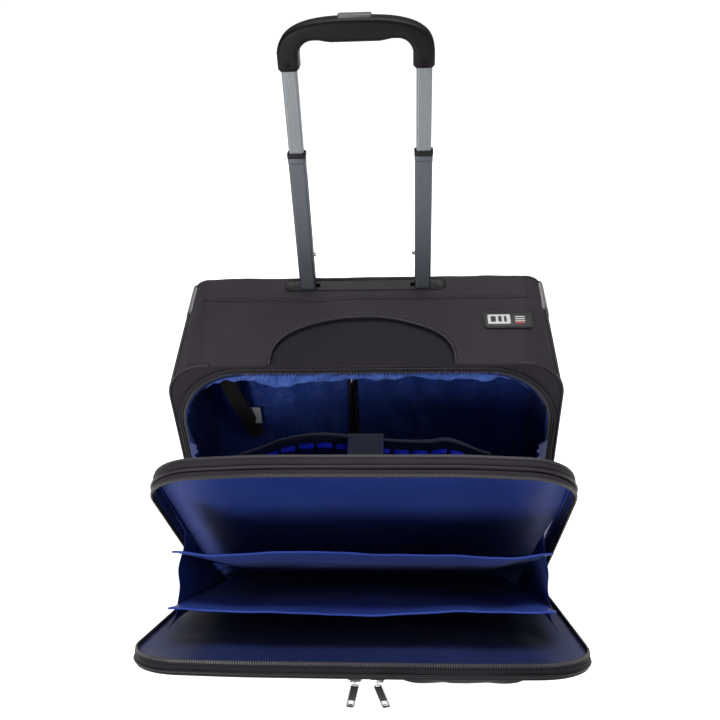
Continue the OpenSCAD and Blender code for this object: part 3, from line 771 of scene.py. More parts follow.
def plate(bm, outline, low, high, matrix=None):  # an outline pulled up into a plate
    verts = [bm.verts.new((x, y, low)) for x, y in outline]
    face = bm.faces.new(verts)
    up = bmesh.ops.extrude_face_region(bm, geom=[face])["geom"]
    moved = [item for item in up if isinstance(item, bmesh.types.BMVert)]
    bmesh.ops.translate(bm, verts=moved, vec=(0, 0, high - low))
    if matrix:
        bmesh.ops.transform(bm, matrix=matrix, verts=verts + moved)
    faces = {face for vert in verts + moved for face in vert.link_faces}
    bmesh.ops.recalc_face_normals(bm, faces=list(faces))
    return verts + moved


makeTopPanel()
makeSlipPocket()
makeSidePanel(-1, "sidePanel_left", "side_panel_left")
makeSidePanel(1, "sidePanel_right", "side_panel_right")
makeBackPanel()
makeFrontFrame()
makeBodyPiping()
makeGuard(-1, "cornerGuard_left", "corner_guard_left")
makeGuard(1, "cornerGuard_right", "corner_guard_right")
makeBadge()
print("outer panels made")


# zips

zipSize = dict(tooth=(1.3, 3.6, 1.5), pitch=2.4)


def zipRow(bm, points, up):  # teeth along points
    line = Line(points)
    count = int(line.length / zipSize["pitch"])
    spots = []
    for i in range(count):
        here, way = line.at((i + 0.5) / count)
        spots.append(axesAt(here, way, up(here) if callable(up) else up))
    return blockRow(bm, spots, zipSize["tooth"], 0.75)


def makeBodyZip():
    front = bodySize["front"]

    def place(u, v):
        s = 0.18 + 4.64 * u
        point = mouthAt(s, -1.0 + 6.2 * v)
        point.y = front - 0.9 + 1.1 * v - 0.5 * math.sin(math.pi * v)
        return point, (v * 7, u * 1150)

    bm = clothGrid(220, 5, place)
    turnOut(bm, facing=(0, -1, 0))
    finishPiece("bodyZipTape", bm, mm, tape, "case_body", "body_zip", thick=0.7)
    bm = bmesh.new()
    zipRow(bm, [mouthAt(s, 5.6, front - 0.4) for s in evenly(0.2, 4.8, 260)], (0, -1, 0))
    finishPiece("bodyZipTeeth", bm, mm, teeth, "case_body", shade=False)
    bm = bmesh.new()
    roundBar(bm, [mouthAt(s, 2.6, front - 1.5) for s in evenly(0.2, 4.8, 200)], 0.55, ring=1)
    roundBar(bm, [mouthAt(s, -0.6, front - 1.3) for s in evenly(0.2, 4.8, 200)], 0.9, ring=1)
    finishPiece("bodyZipCord", bm, mm, cord, "case_body")


# lining of the main compartment

def curtainDrop(s, x):  # how far the loose lining hangs below the zip
    high = smooth(1.0, 2.0, s) * smooth(4.0, 3.0, s)
    folds = 3.0 * abs(math.sin(x / 31 + 0.5)) + 3.0 * hump(x, -120, 22) + 12.0 * hump(x, -98, 25) \
        + 4.5 * hump(x, -30, 22) + 3.0 * hump(x, 18, 20) + 5.5 * hump(x, 92, 22) - 3.0 * hump(x, 58,
                14) + 4.0 * hump(x, 146, 16)
    return 4.5 + (9.0 + folds) * high


def makeSideLining():
    b = bodySize
    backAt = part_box("back_lining")[0].y * 1000 - 0.6

    def place(u, v):
        s = 0.02 + 4.96 * u
        start = mouthAt(s, 1.0, b["front"] + 2.5)
        y = b["front"] + 5.5 + (backAt - b["front"] - 5.5) * max(0.0, v - 0.2) / 0.8
        wall = bodyAt(s, y, -6.5)
        share = smooth(0.18, 0.6, v)
        point = start.lerp(wall, share)
        point.y = y if v > 0.2 else b["front"] + 1.8 + 3.7 * (v / 0.2) ** 1.5
        drop = curtainDrop(s, point.x)
        lobe = min(1.0, v / 0.2) * (1 - 0.75 * smooth(0.22, 0.7, v))
        crinkle = soft(point.x, v * 60, point.z, 9, 2.0) + soft(point.x, v * 160, point.z, 24,
                3.2) * smooth(0.1, 0.3, v)
        ridge = 1.6 * abs(noise.noise(Vector((point.x / 17, v * 9, point.z / 17))))
        inner = Vector((-bodyOut(s).x, 0, -bodyOut(s).z))
        ease = smooth(0, 0.05, v) * smooth(1, 0.93, v)
        point += inner * (drop * lobe + ease * (crinkle + ridge + 1.2))
        point.y += ease * (soft(point.x, point.z, v * 50, 13,
                                3.4) + 1.2 * math.sin(point.x / 5.5 + v * 9) * hump(v, 0.1, 0.08))
        return point, (u * 1180, v * 118)

    bm = clothGrid(320, 66, place)
    takeAway(bm, lambda c: c.y > 50 and c.z < 84 and abs(c.x) > 170)
    turnOut(bm, centre=(0, 60, 200))
    bmesh.ops.reverse_faces(bm, faces=bm.faces[:])
    # faces within 9 mm of the front, or within 26 mm and above 330 mm, take the lit lining copy (painted
    # light); the rest take the dark lining copy (painted shade)
    for face in bm.faces:
        c = face.calc_center_median()
        face.material_index = 0 if c.y < b["front"] + 26 and c.z > 330 or c.y < b["front"] + 9 else 1
    finishPiece("sideLining", bm, mm, [blueCurtainPaintedLight, blueLiningPaintedShade], "case_body", "side_lining",
                thick=0.5)
    bm = bmesh.new()  # the gathered seam under the zip
    for i in range(190):
        s = 1.25 + 2.5 * i / 189
        here = mouthAt(s, 11.4 + 0.9 * math.sin(i * 1.7), b["front"] + 1.1)
        there = mouthAt(s, 6.0, b["front"] + 0.4)
        spot = axesAt((here + there) / 2, there - here, (0, -1, 0))
        blockRow(bm, [spot], (5.4, 1.1, 1.2), 0.4)
    # the gathers take the dark lining copy: painted shade between the gathers
    finishPiece("liningGathers", bm, mm, blueLiningPaintedShade, "case_body")


def makeBackLining():
    b = bodySize
    y0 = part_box("back_lining")[0].y * 1000

    def place(u, v):
        radius, top, half = 24, b["frontTop"] + b["rise"] - 14, b["half"] - b["taper"] - 1.5
        z = b["low"] + 1.0 + (top - b["low"] - 1.0) * v
        if z > top - radius:
            half = half - radius + math.sqrt(max(0.0, radius ** 2 - (z - top + radius) ** 2))
        x = (u - 0.5) * 2 * half
        ease = smooth(0, 0.05, min(u, 1 - u)) * smooth(0, 0.03, 1 - v)
        lean = x + 0.14 * (z - 300)
        folds = (4.2 * hump(lean, -108, 12) + 3.2 * hump(lean, -64, 9) + 2.6 * hump(lean, 18, 10)
                 + 5.0 * hump(lean, 58, 9) + 3.8 * hump(lean, 92, 13) + 3.0 * hump(lean, 138,
                         12)) * smooth(120, 240, z)
        swag = 3.6 * hump(z, 372 - (x - 40) ** 2 / 900, 9) * hump(x, 45, 80) + 3.0 * hump(z,
                376 - (x + 95) ** 2 / 700, 8) * hump(x, -95, 50)
        wrinkle = soft(x, 0, z * 0.5, 24, 2.6) + soft(x, 3, z, 9, 0.9)
        keep = 1 - 0.9 * hump(x, -22, 12) * smooth(60, 100, z)
        y = y0 + 0.6 - ease * ((folds + swag) * keep + max(-0.4, wrinkle) * keep + 0.5)
        return (x, y, z), (x, z)

    bm = clothGrid(190, 150, place)
    takeAway(bm, lambda c: c.z < 84 and abs(c.x) > 176)
    turnOut(bm, facing=(0, -1, 0))
    finishPiece("backLining", bm, mm, blueBack, "case_body", "back_lining", thick=0.8)
    low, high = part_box("lining_zip")
    x, top, bottom = (low.x + high.x) * 500, high.z * 1000, low.z * 1000
    bm = clothGrid(6, 60, lambda u,
                   v: ((x - 7 + 14 * u, y0 - 1.4 - 0.5 * math.sin(math.pi * u) + soft(u * 9, 0, v * 200,
                           30, 0.4),
                                         bottom + (top - bottom) * v), (14 * u, v * (top - bottom))))
    turnOut(bm, facing=(0, -1, 0))
    finishPiece("liningZipTape", bm, mm, navy, "case_body", "lining_zip", thick=0.5)
    bm = bmesh.new()
    zipRow(bm, [Vector((x, y0 - 2.6, z)) for z in evenly(bottom + 3, top - 3, 40)], (0, -1, 0))
    finishPiece("liningZipTeeth", bm, mm, blackPlastic, "case_body", shade=False)
    low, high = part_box("lining_zip_slider")
    cx, cy, top = (low.x + high.x) * 500, low.y * 1000, high.z * 1000
    bm = bmesh.new()
    at = Matrix.Translation((cx, cy + 4.4, top - 6)) @ Matrix.Rotation(math.radians(90), 4, "X")
    plate(bm, roundedOutline(8, 11, 3.2), 0, 2.6, at)
    roundBar(bm, [Vector((cx, cy + 2.0, top - 3)), Vector((cx, cy + 0.4, top - 5)),
                  Vector((cx, cy + 0.4, top - 8)),
                  Vector((cx, cy + 2.0, top - 10))], 0.8)
    plate(bm, roundedOutline(5, 19, 1.8), 0, 1.2,
          Matrix.Translation((cx, cy + 1.4, top - 15)) @ Matrix.Rotation(math.radians(90), 4, "X"))
    for dx in (-2.2, 2.2):
        made = bmesh.ops.create_uvsphere(bm, u_segments=12, v_segments=8, radius=1.5)["verts"]
        bmesh.ops.translate(bm, verts=made, vec=(cx + dx, cy + 2.2, top - 1.2))
    finishPiece("liningZipSlider", bm, mm, steel, "lining_slider", "lining_zip_slider",
                round=0.25)


def makeStrapAndLabel():
    y0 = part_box("back_lining")[0].y * 1000
    start, middle, end = Vector((-160, y0 - 5.5, 196)), Vector((-192, 78, 300)), Vector((-179, 21, 377))

    def place(u, v):
        point = start * (1 - v) ** 2 + middle * 2 * v * (1 - v) + end * v ** 2
        way = (middle - start) * (1 - v) + (end - middle) * v
        across = way.cross(Vector((0.35, -1, 0.3))).normalized()
        point = point + across * (u - 0.5) * 20 + Vector((0, 0.6 * math.cos(u * math.pi * 2), 0))
        return point, (u * 20, v * 210)

    bm = clothGrid(8, 60, place)
    turnOut(bm, facing=(0, -1, 0.2))
    finishPiece("packingStrap", bm, mm, webbing, "case_body", "packing_strap",
                thick=1.3)
    bm = clothGrid(10, 12, lambda u, v: ((-174 + 22 * u, y0 - 5.5 - 1.5 * u + 1.2 * math.sin(v * 3),
            220 + 28 * v), (22 * u, 28 * v)))
    turnOut(bm, facing=(0, -1, 0))
    finishPiece("careLabel", bm, mm, labelCloth, "case_body", thick=0.3)


makeBodyZip()
makeSideLining()
makeBackLining()
makeStrapAndLabel()
print("main compartment made")


# front section and organizer

sectionSize = dict(width=468, high=346, corner=57, low=8)


def ringAt(out=0.0, **size):  # a panel's edge, all round
    size = size or sectionSize
    width, high, corner, low = (size[key] for key in ("width", "high", "corner", "low"))
    points = []
    half = width / 2
    for cx, cz, r, start in ((half - corner, high - corner, corner, 0), (corner - half, high - corner,
            corner, 90),
                             (low - half, low, low, 180), (half - low, low, low, 270)):
        for i in range(13):
            a = math.radians(start + 90 * i / 12)
            points.append((cx + (r + out) * math.cos(a), cz + (r + out) * math.sin(a)))
    return points


def ringUp(p):  # away from the panel's middle, and straight up along its top
    return Vector((p.x, 0, p.z - 170)) if abs(p.x) > 170 or p.z < 300 else Vector((0, 0, 1))


def ringLine(out=0.0, y=0.0, count=240, **size):
    line = Line([Vector((x, y, z)) for x, z in ringAt(out, **size)], closed=True)
    return [line.at(i / count)[0] for i in range(count)]


def ringBand(profile, count=260, wave=0.0, seed=0.0,
             **size):  # a band that follows the edge; profile is (out, y)
    rings = [ringLine(out, y, count, **size) for out, y in profile]

    def place(u, v):
        i, k = int(round(u * count)) % count, int(round(v * (len(profile) - 1)))
        point = rings[k][i].copy()
        mid = math.sin(math.pi * v)
        shift = soft(point.x + seed, 0, point.z, 60, wave) * mid
        point.z += shift if point.z > 200 else 0
        return point, (v * 24, u * 1600)

    bm = clothGrid(count, len(profile) - 1, place)
    bmesh.ops.remove_doubles(bm, verts=bm.verts[:], dist=0.01)
    turnOut(bm, centre=(0, 0, 170))
    return bm


def panelAt(u, v, width, high, corner, lowZ=0.0):  # a place on a flat panel with round top corners
    z = lowZ + (high - lowZ) * v
    half = width / 2
    if z > high - corner:
        half = half - corner + math.sqrt(max(0.0, corner ** 2 - (z - high + corner) ** 2))
    return (u - 0.5) * 2 * half, z


def denser(v):  # rows crowd towards the top edge
    return 1 - (1 - v) ** 1.5


def makeSection():
    rimProfile = [(-0.9, -4.3), (0.2, -5.2), (1.0, -7.5), (1.1, -10.0), (0.2, -12.4), (-1.4, -13.4),
                  (-1.6, -14.6),
                  (-1.4, -17.6), (0.2, -18.8), (0.9, -21.0), (0.1, -23.2), (-0.8, -24.0)]
    bm = ringBand(rimProfile, wave=1.4)
    finishPiece("sectionRim", bm, inSection, black, "front_section", "section_rim",
                thick=2.6)
    bm = bmesh.new()
    roundBar(bm, ringLine(0.6, -15.4, 260), 1.9, closed=True, ring=3)
    roundBar(bm, ringLine(0.5, -5.0, 260), 0.7, closed=True, ring=1)
    roundBar(bm, ringLine(0.4, -23.4, 260), 0.7, closed=True, ring=1)
    finishPiece("sectionPiping", bm, inSection, cord, "front_section")
    for name, part, node, rear, front in (("sectionZip", "", "section_zip", -0.9, -4.8),
                                          ("organizerZip", "_rear", "organizer_zip_rear", -27.0,
                                           -23.4)):
        way = 1 if rear > front else -1
        bm = ringBand([(-0.6, front), (-0.4, front + (rear - front) * 0.5), (-1.3, rear)])
        finishPiece(name + "Tape" + part, bm, inSection, tape, "front_section", node,
                    thick=0.8)
        bm = bmesh.new()
        zipRow(bm, ringLine(-0.2, rear - way * 1.9, 300), ringUp)
        finishPiece(name + "Teeth" + part, bm, inSection, teeth, "front_section",
                    shade=False)

    def wall(u, v):
        x, z = panelAt(u, denser(v), 459, 341.5, 53, 4.5)
        edge = min(0.5 - abs(u - 0.5), 1 - v)
        y = -9.4 - smooth(0, 0.06, edge) * (0.9 + 1.6 * hump(x, 30, 150) * hump(z, 220, 90) + soft(x, 0,
                z, 70, 1.6) + soft(x, 2, z * 0.5, 22, 0.45))
        return (x, y, z), (x, z)

    bm = clothGrid(110, 90, wall)
    turnOut(bm, facing=(0, -1, 0))
    finishPiece("sectionPanel", bm, inSection, blue, "front_section", "section_panel",
                thick=3.6)
    bm = ringBand([(-4.3, -9.0), (-4.1, -14.0), (-3.7, -23.0)])  # the rim's lining
    bmesh.ops.reverse_faces(bm, faces=bm.faces[:])
    # the rim's lining takes the dark lining copy: painted shade inside the rim
    finishPiece("sectionRimLining", bm, inSection, blueLiningPaintedShade, "front_section",
                thick=0.6)
    bm = bmesh.new()
    roundBar(bm, ringLine(-5.2, -11.0, 240), 1.0, closed=True, ring=2)
    finishPiece("sectionPanelSeam", bm, inSection, blueEdge, "front_section")


sleeveEdge = [(-150, 244), (-122, 262), (-95, 282), (-68, 293), (-45, 296), (-17, 291), (15, 283),
              (50, 277), (78, 276),
              (98, 280), (118, 268), (136, 254), (150, 246)]


def sleeveTop(x):  # the sleeve's bound top edge, a smooth curve through its marks
    marks = sleeveEdge
    x = min(marks[-1][0], max(marks[0][0], x))
    i = max(k for k in range(len(marks) - 1) if marks[k][0] <= x)
    (x0, z0), (x1, z1) = marks[i], marks[i + 1]
    before, after = marks[max(0, i - 1)], marks[min(len(marks) - 1, i + 2)]
    rise0, rise1 = (z1 - before[1]) / (x1 - before[0]), (after[1] - z0) / (after[0] - x0)
    wide, t = x1 - x0, (x - x0) / (x1 - x0)
    return (z0 * (2 * t ** 3 - 3 * t * t + 1) + rise0 * wide * (t ** 3 - 2 * t * t + t)
            + z1 * (3 * t * t - 2 * t ** 3) + rise1 * wide * (t ** 3 - t * t))


def makeSleeve():
    def wall(u, v):
        x = (u - 0.5) * 299
        z = 7 + (min(297, sleeveTop(x)) - 7) * v
        y = 47.2 + soft(x, 0, z, 60, 1.2) * smooth(0, 0.1, v) + 1.6 * hump(x, 100, 40) * smooth(0.7, 1,
                v)
        return (x, y, z), (x, z)

    bm = clothGrid(100, 60, wall)
    turnOut(bm, facing=(0, -1, 0))
    finishPiece("laptopSleeve", bm, inSection, navy, "front_section", "laptop_sleeve",
                thick=4.0)
    bm = bmesh.new()
    edge = []
    for x in evenly(-149, 149, 150):
        edge.append(Vector((x, 48.6, min(297, sleeveTop(x)) + 0.4)))
    roundBar(bm, edge, 1.9, ring=3)
    finishPiece("sleeveBinding", bm, inSection, navy, "front_section")
    bm = bmesh.new()
    for i in range(-6, 7):  # padded ribs
        x0 = i * 22
        top = sleeveTop(x0) - 14

        def rib(u, v):
            z = 8 + (top - 8) * v
            cap = math.sqrt(max(0.0, 1 - max(0.0, (z - top + 7) / 7) ** 2))
            half = 10.2 * (0.2 + 0.8 * cap)
            a = (u - 0.5) * math.pi
            tilt = (sleeveTop(x0 + 8) - sleeveTop(x0 - 8)) / 16 * 0.8
            x = x0 + half * math.sin(a)
            y = 46.4 - (0.4 + 6.2 * cap ** 0.7) * max(0.0, math.cos(a)) ** 0.8
            return (x, y, z + tilt * (x - x0) * smooth(0.6, 1, v)), (x, z)

        clothGrid(10, 40, lambda u, v: rib(u, denser(v)), bm)
    turnOut(bm, facing=(0, -1, 0))
    # upward faces of the ribs keep the plain cobalt; all other faces take the darker cobalt copy: painted
    # shade
    for face in bm.faces:
        face.normal_update()
        face.material_index = 0 if face.normal.z > 0.32 else 1
    finishPiece("sleeveRibs", bm, inSection, [cobalt, cobaltPaintedShade], "front_section",
                thick=0.8)
    for side, word in sides:
        def web(u, v):
            z = 8 + 212 * v
            y = -4.8 + 50 * u
            bow = 6 * math.sin(math.pi * u) * smooth(0, 0.3, v)
            return (side * (149 - bow), y, z), (y, z)
        bm = clothGrid(24, 40, web)
        turnOut(bm, facing=(side, 0, 0))
        finishPiece("sleeveGusset_" + word, bm, inSection, navy, "front_section",
                    thick=1.0)
    bm = clothGrid(30, 10, lambda u, v: (((u - 0.5) * 298, -4.8 + 50 * v,
            7.5 - 0.6 * math.sin(math.pi * v)), (u * 298, v * 50)))
    turnOut(bm, facing=(0, 0, 1))
    finishPiece("sleeveFloor", bm, inSection, navy, "front_section", thick=1.0)

    def strap(u, v):
        y = -4.0 + 58 * v
        x = -16.5 + 41 * u
        z = 291.5 + 6.5 * (1 - v) + soft(x, y, 0, 26, 0.8) - 2.6 * math.sin(math.pi * v)
        if y > 50:
            z -= (y - 50) * 0.8
        return (x, y, z), (x, y)

    bm = clothGrid(20, 30, strap)
    turnOut(bm, facing=(0, 0, 1))
    finishPiece("sleeveStrap", bm, inSection, navy, "front_section", "sleeve_strap",
                thick=1.8)
    bm = bmesh.new()
    for x in (-14.5, 22.5):
        row = [Vector((x, y, 294.2 - 2.4 * math.sin(math.pi * (y + 4) / 58) + 4.6 * (1 - (y + 4) / 58)))
               for y in evenly(0, 46, 12)]
        stitches(bm, row, (0, 0, 1), 3.6, 2.2, 0.5)
    finishPiece("strapStitching", bm, inSection, blueEdge, "front_section")


dividerSize = dict(high=283, thick=1.6)


def makeDivider(name, node, body, joint, share, cloth, seed):
    size = dividerSize
    lean = sectionLean + share
    space = hingeSpace(joint, lean)
    bow = 7.0 if seed < 5 else 5.0

    def place(u, v):
        t = denser(v)
        z = 1 + (size["high"] - 1.5) * t
        half = 182 + 17 * smooth(0.0, 0.8, t)
        half += 4.5 * smooth(0.955, 0.99, t)
        x = (u - 0.5) * 2 * half
        rim = smooth(0, 0.12, 0.5 - abs(u - 0.5))
        wave = (2.2 * math.sin(x / 62 + seed) + 0.8 * math.sin(x / 27 + seed * 2)) * smooth(0.55, 1,
                t) * rim
        y = -bow * math.sin(math.pi * t) * rim + wave + soft(x, seed, z, 40, 1.3) * smooth(0.1, 0.4, t)
        y = min(y - 2.4 * smooth(0.5, 1, t) * rim, 0.3)
        z += (1.2 * math.sin(x / 60 + seed * 1.3) - 1.0) * smooth(0.8, 1, t) * rim - 1.5 * smooth(0.94,
                0.99, t) * (1 - rim) * (abs(u - 0.5) > 0.47)
        return (x, y, z), (x, z)

    bm = clothGrid(120, 70, place)
    turnOut(bm, facing=(0, -1, 0))
    finishPiece(name, bm, space, cloth, body, node, thick=size["thick"], offset=0)
    bm = bmesh.new()
    edge = [Vector(place(u, 1.0)[0]) + Vector((0, 0, 0.3)) for u in evenly(0.004, 0.996, 150)]
    roundBar(bm, edge, 1.05, ring=2)
    finishPiece(name + "Binding", bm, space, blueEdge, body)


def fan(side, x0, low, high, reach, pleats, deep, posts, pull, dent):
    def place(u, v):
        a = math.radians(low + (high - low) * u)
        near = min(abs(math.degrees(a) - post) for post in posts)
        gap = smooth(0, 5.0, near)
        rim = max(smooth(5.0, 0, abs(math.degrees(a) - posts[0])),
                  smooth(5.0, 0, abs(math.degrees(a) - posts[-1])))
        far = reach - pull * gap
        r = 14 + (far - 14) * v
        fold = deep * math.sin(u * math.pi * 2 * pleats) * smooth(0.1, 0.6, v)
        x = x0 + 11 * rim - dent * gap * smooth(0.2, 1, v) + fold * gap + soft(u * 30, v * 60,
                side * 20, 9, 1.2) * smooth(0, 0.3, v)
        return (side * x, -r * math.sin(a), r * math.cos(a)), (u * 120, v * 240)
    return place


def makeGussets():
    hinge = Vector(joints["flap_hinge"]["pos_m"])

    def out(r, angle):
        a = math.radians(angle)
        return Vector((0, -r * math.sin(a), r * math.cos(a))) * 0.001

    spread = flapLean - sectionLean
    for side, word in sides:
        bm = clothGrid(90, 50, fan(side, 201, 1.2, spread - 1.6, 262, 3, 0.5, (1, 14.7, 25.1, spread),
                5, 1.5))
        turnOut(bm, facing=(side, 0, 0))
        space = Matrix.Translation(hinge) @ Matrix.Rotation(math.radians(sectionLean), 4, "X") @ mm
        finishPiece("organizerGusset_" + word, bm, space, gussetBlue, "front_section",
                    "organizer_gussets" if side < 0 else (), thick=0.7, offset=0,
                    blendTo=("front_section", "front_flap", hinge + out(190, sectionLean + 1),
                             hinge + out(190, flapLean - 1)))
    rear, front = inSection @ Vector((0, -11, 7)), inFlap @ Vector((0, -6, 6))

    def floorCloth(u, v):
        point = rear.lerp(front, v) * 1000
        return ((u - 0.5) * 424, point.y, point.z - 3.5 * math.sin(math.pi * v) + soft(u * 400, v * 30,
                0, 40, 1.0)), (u * 424, v * 26)

    bm = clothGrid(60, 10, floorCloth)
    turnOut(bm, facing=(0, 0, 1))
    finishPiece("organizerFloor", bm, mm, gussetBlue, "front_section", thick=0.7,
                offset=0,
                blendTo=("front_section", "front_flap", rear, front))
    hinge = Vector(joints["section_hinge"]["pos_m"])
    for side, word in sides:
        bm = clothGrid(110, 60, fan(side, 215, 1.5, sectionLean - 1.5, 240, 7, 1.7, (0, sectionLean), 4,
                6.5))
        turnOut(bm, facing=(side, 0, 0))
        finishPiece("compartmentGusset_" + word, bm, Matrix.Translation(hinge) @ mm, gussetBlue,
                    "case_body",
                    "compartment_gussets" if side < 0 else (), thick=0.7, offset=0,
                    blendTo=("case_body", "front_section", hinge + out(190, 1),
                             hinge + out(190, sectionLean - 1)))


def makeMainSliders():
    for side in (-1, 1):
        bm = bmesh.new()
        for y, z, wide, deep, lift in ((-5.4, 19, 13, 8, 3.0), (-4.6, 4, 20, 4, 1.5)):
            at = Matrix.Translation((side * 234.3, y, z)) @ Matrix.Rotation(math.radians(90 * side), 4,
                    "Y")
            plate(bm, roundedOutline(wide, deep, 1.6), 0, lift, at)
        finishPiece("mainZipSlider_" + ("left" if side < 0 else "right"), bm, inSection, steel,
                    "front_section",
                    "main_zip_sliders" if side < 0 else (), round=0.4)


makeSection()
makeSleeve()
rearShare = joints["rear_divider_hinge"]["range_deg"][1]
frontShare = joints["front_divider_hinge"]["range_deg"][1]
makeDivider("dividerRear", "divider_rear", "rear_divider", "rear_divider_hinge", rearShare, blue, 2.1)
makeDivider("dividerFront", "divider_front", "front_divider", "front_divider_hinge", frontShare, blue,
            5.3)
makeGussets()
makeMainSliders()
print("section made")


# front flap and its pockets

flapSize = dict(face=-16.6, pocket=-19.6, zipAt=332, pouch=(105, 260, 134, 120))


def makeFlap():
    profile = [(-0.9, -4.3), (0.4, -5.4), (1.1, -8.0), (0.8, -11.0), (-0.2, -12.4), (0.5, -13.4),
               (0.7, -15.0), (-0.3, -16.6)]
    bm = ringBand(profile, wave=1.8, seed=40)
    # the rim takes the darker nylon copy: painted shade on its down-facing band
    finishPiece("flapRim", bm, inFlap, blackNylonPaintedShade, "front_flap", "flap_rim", thick=2.6)
    bm = bmesh.new()
    roundBar(bm, ringLine(0.9, -12.4, 260), 1.5, closed=True, ring=3)
    roundBar(bm, ringLine(0.5, -5.0, 260), 0.7, closed=True, ring=1)
    finishPiece("flapPiping", bm, inFlap, blackPlastic, "front_flap")
    bm = ringBand([(-0.6, -4.8), (-0.4, -2.8), (-1.3, -0.9)])
    finishPiece("organizerZipTape_front", bm, inFlap, tape, "front_flap", "organizer_zip_front",
                thick=0.8)
    bm = bmesh.new()
    zipRow(bm, ringLine(-0.2, -2.8, 300), ringUp)
    finishPiece("organizerZipTeeth_front", bm, inFlap, teeth, "front_flap",
                shade=False)

    def outer(u, v):
        x, z = panelAt(u, denser(v), 467, 345.5, 56.5, 0.5)
        edge = min(0.5 - abs(u - 0.5), 1 - v, v + 0.03)
        y = flapSize["face"] + 1.6 - smooth(0, 0.06, edge) * (1.8 + soft(x, 0, z, 60, 1.1) + soft(x, 4,
                z, 20, 0.3))
        return (x, y, z), (x, z)

    bm = clothGrid(110, 86, outer)
    turnOut(bm, facing=(0, -1, 0))
    finishPiece("flapPanel", bm, inFlap, black, "front_flap", "flap_panel", thick=2.8)

    def lining(u, v):
        x, z = panelAt(u, denser(v), 463, 343.5, 54.5, 2.5)
        edge = min(0.5 - abs(u - 0.5), 1 - v)
        dish = smooth(0, 0.10, edge)
        y = -4.9 - 6.2 * dish + 3.2 * smooth(0.02, 0.2, 1 - v) * smooth(0.55, 0.25, 1 - v) * smooth(0,
                0.2, 0.5 - abs(u - 0.5)) \
            + dish * (soft(x, 0, z, 60, 2.0) + soft(x, 6, z, 18, 0.6))
        return (x, min(y, -3.6), z), (x, z)

    bm = clothGrid(110, 80, lining)
    turnOut(bm, facing=(0, 1, 0))
    # the flap's lining takes the darker lining copy: painted shade
    finishPiece("flapLining", bm, inFlap, flapLiningPaintedShade, "front_flap", thick=0.8)


def makeFlapPocket():
    face = flapSize["pocket"]

    def panel(u, v):
        x, z = panelAt(u, denser(v), 443, 325.5, 46, 8.5)
        if z < 22:
            x *= 1 - 0.03 * (1 - smooth(8, 22, z))
        edge = min(0.5 - abs(u - 0.5), 1 - v, v)
        y = face + 2.6 - smooth(0, 0.05, edge) * (2.4 + 1.2 * hump(x, -60, 120) * hump(z, 200,
                100) + soft(x, 0, z, 50, 1.1))
        return (x, y, z), (x, z)

    bm = clothGrid(100, 80, panel)
    turnOut(bm, facing=(0, -1, 0))
    finishPiece("pocketPanel", bm, inFlap, black, "front_flap", "pocket_panel",
                thick=2.0)
    bm = bmesh.new()
    shape = dict(width=443, high=325.5, corner=46, low=12)
    line = Line([Vector((x, face + 1.2, max(z, 8.5))) for x, z in ringAt(0.4, **shape)], closed=True)
    roundBar(bm, [line.at(i / 240)[0] for i in range(240)], 1.5, closed=True, ring=3)
    finishPiece("pocketPiping", bm, inFlap, cord, "front_flap")
    bm = bmesh.new()
    line = Line([Vector((x, face - 0.2, max(z, 14))) for x, z in ringAt(-6.5, **shape)], closed=True)
    stitches(bm, [line.at(i / 240)[0] for i in range(241)], (0, -1, 0))
    finishPiece("pocketStitching", bm, inFlap, thread, "front_flap")
    z0 = flapSize["zipAt"]
    bm = clothGrid(120, 6, lambda u,
                   v: ((-190 + 380 * u,
                        flapSize["face"] - 1.4 - 0.6 * math.sin(math.pi * v) + soft(u * 380, 0, 0, 50,
                                0.3), z0 - 6 + 12 * v), (12 * v, 380 * u)))
    turnOut(bm, facing=(0, -1, 0))
    finishPiece("pocketZipTape", bm, inFlap, tape, "front_flap", "pocket_zip", thick=0.7)
    bm = bmesh.new()
    zipRow(bm, [Vector((x, flapSize["face"] - 2.2, z0)) for x in evenly(-188, 188, 60)], (0, -1, 0))
    for side in (-1, 1):
        blockRow(bm, [axesAt(Vector((side * 189, flapSize["face"] - 2.2, z0)), (1, 0, 0), (0, -1, 0))],
                 (2.4, 6, 2.2), 0.8)
    finishPiece("pocketZipTeeth", bm, inFlap, teeth, "front_flap", shade=False)


def puff(bm, name, pressure, cap, voxel, pinned):  # blows a closed form up as stuffed cloth
    mesh = bpy.data.meshes.new(name + "Form")
    bm.to_mesh(mesh)
    bm.free()
    form = bpy.data.objects.new(name + "Form", mesh)
    scene.collection.objects.link(form)
    remesh = form.modifiers.new("even", "REMESH")
    remesh.mode, remesh.voxel_size = "VOXEL", voxel
    bpy.context.view_layer.update()
    even = bpy.data.meshes.new_from_object(form.evaluated_get(bpy.context.evaluated_depsgraph_get()))
    form.modifiers.clear()
    form.data = even
    rest = [vert.co.copy() for vert in even.vertices]
    group = form.vertex_groups.new(name="held")
    group.add([vert.index for vert in even.vertices if pinned(vert.co)], 1.0, "REPLACE")
    cloth = form.modifiers.new("cloth", "CLOTH")
    cloth.settings.vertex_group_mass = "held"
    cloth.settings.use_pressure = True
    cloth.settings.uniform_pressure_force = pressure
    cloth.settings.effector_weights.gravity = 0
    cloth.settings.quality = 6
    for step in range(1, 21):
        scene.frame_set(step)
    blown = form.evaluated_get(bpy.context.evaluated_depsgraph_get()).to_mesh()
    moved = [vert.co.copy() for vert in blown.vertices]
    form.modifiers.clear()
    scene.frame_set(1)
    for vert, start, end in zip(even.vertices, rest, moved):
        shift = end - start
        vert.co = start + shift * min(1.0, cap / max(shift.length, 1e-9))
    made = bmesh.new()
    made.from_mesh(form.data)
    bpy.data.objects.remove(form)
    return made


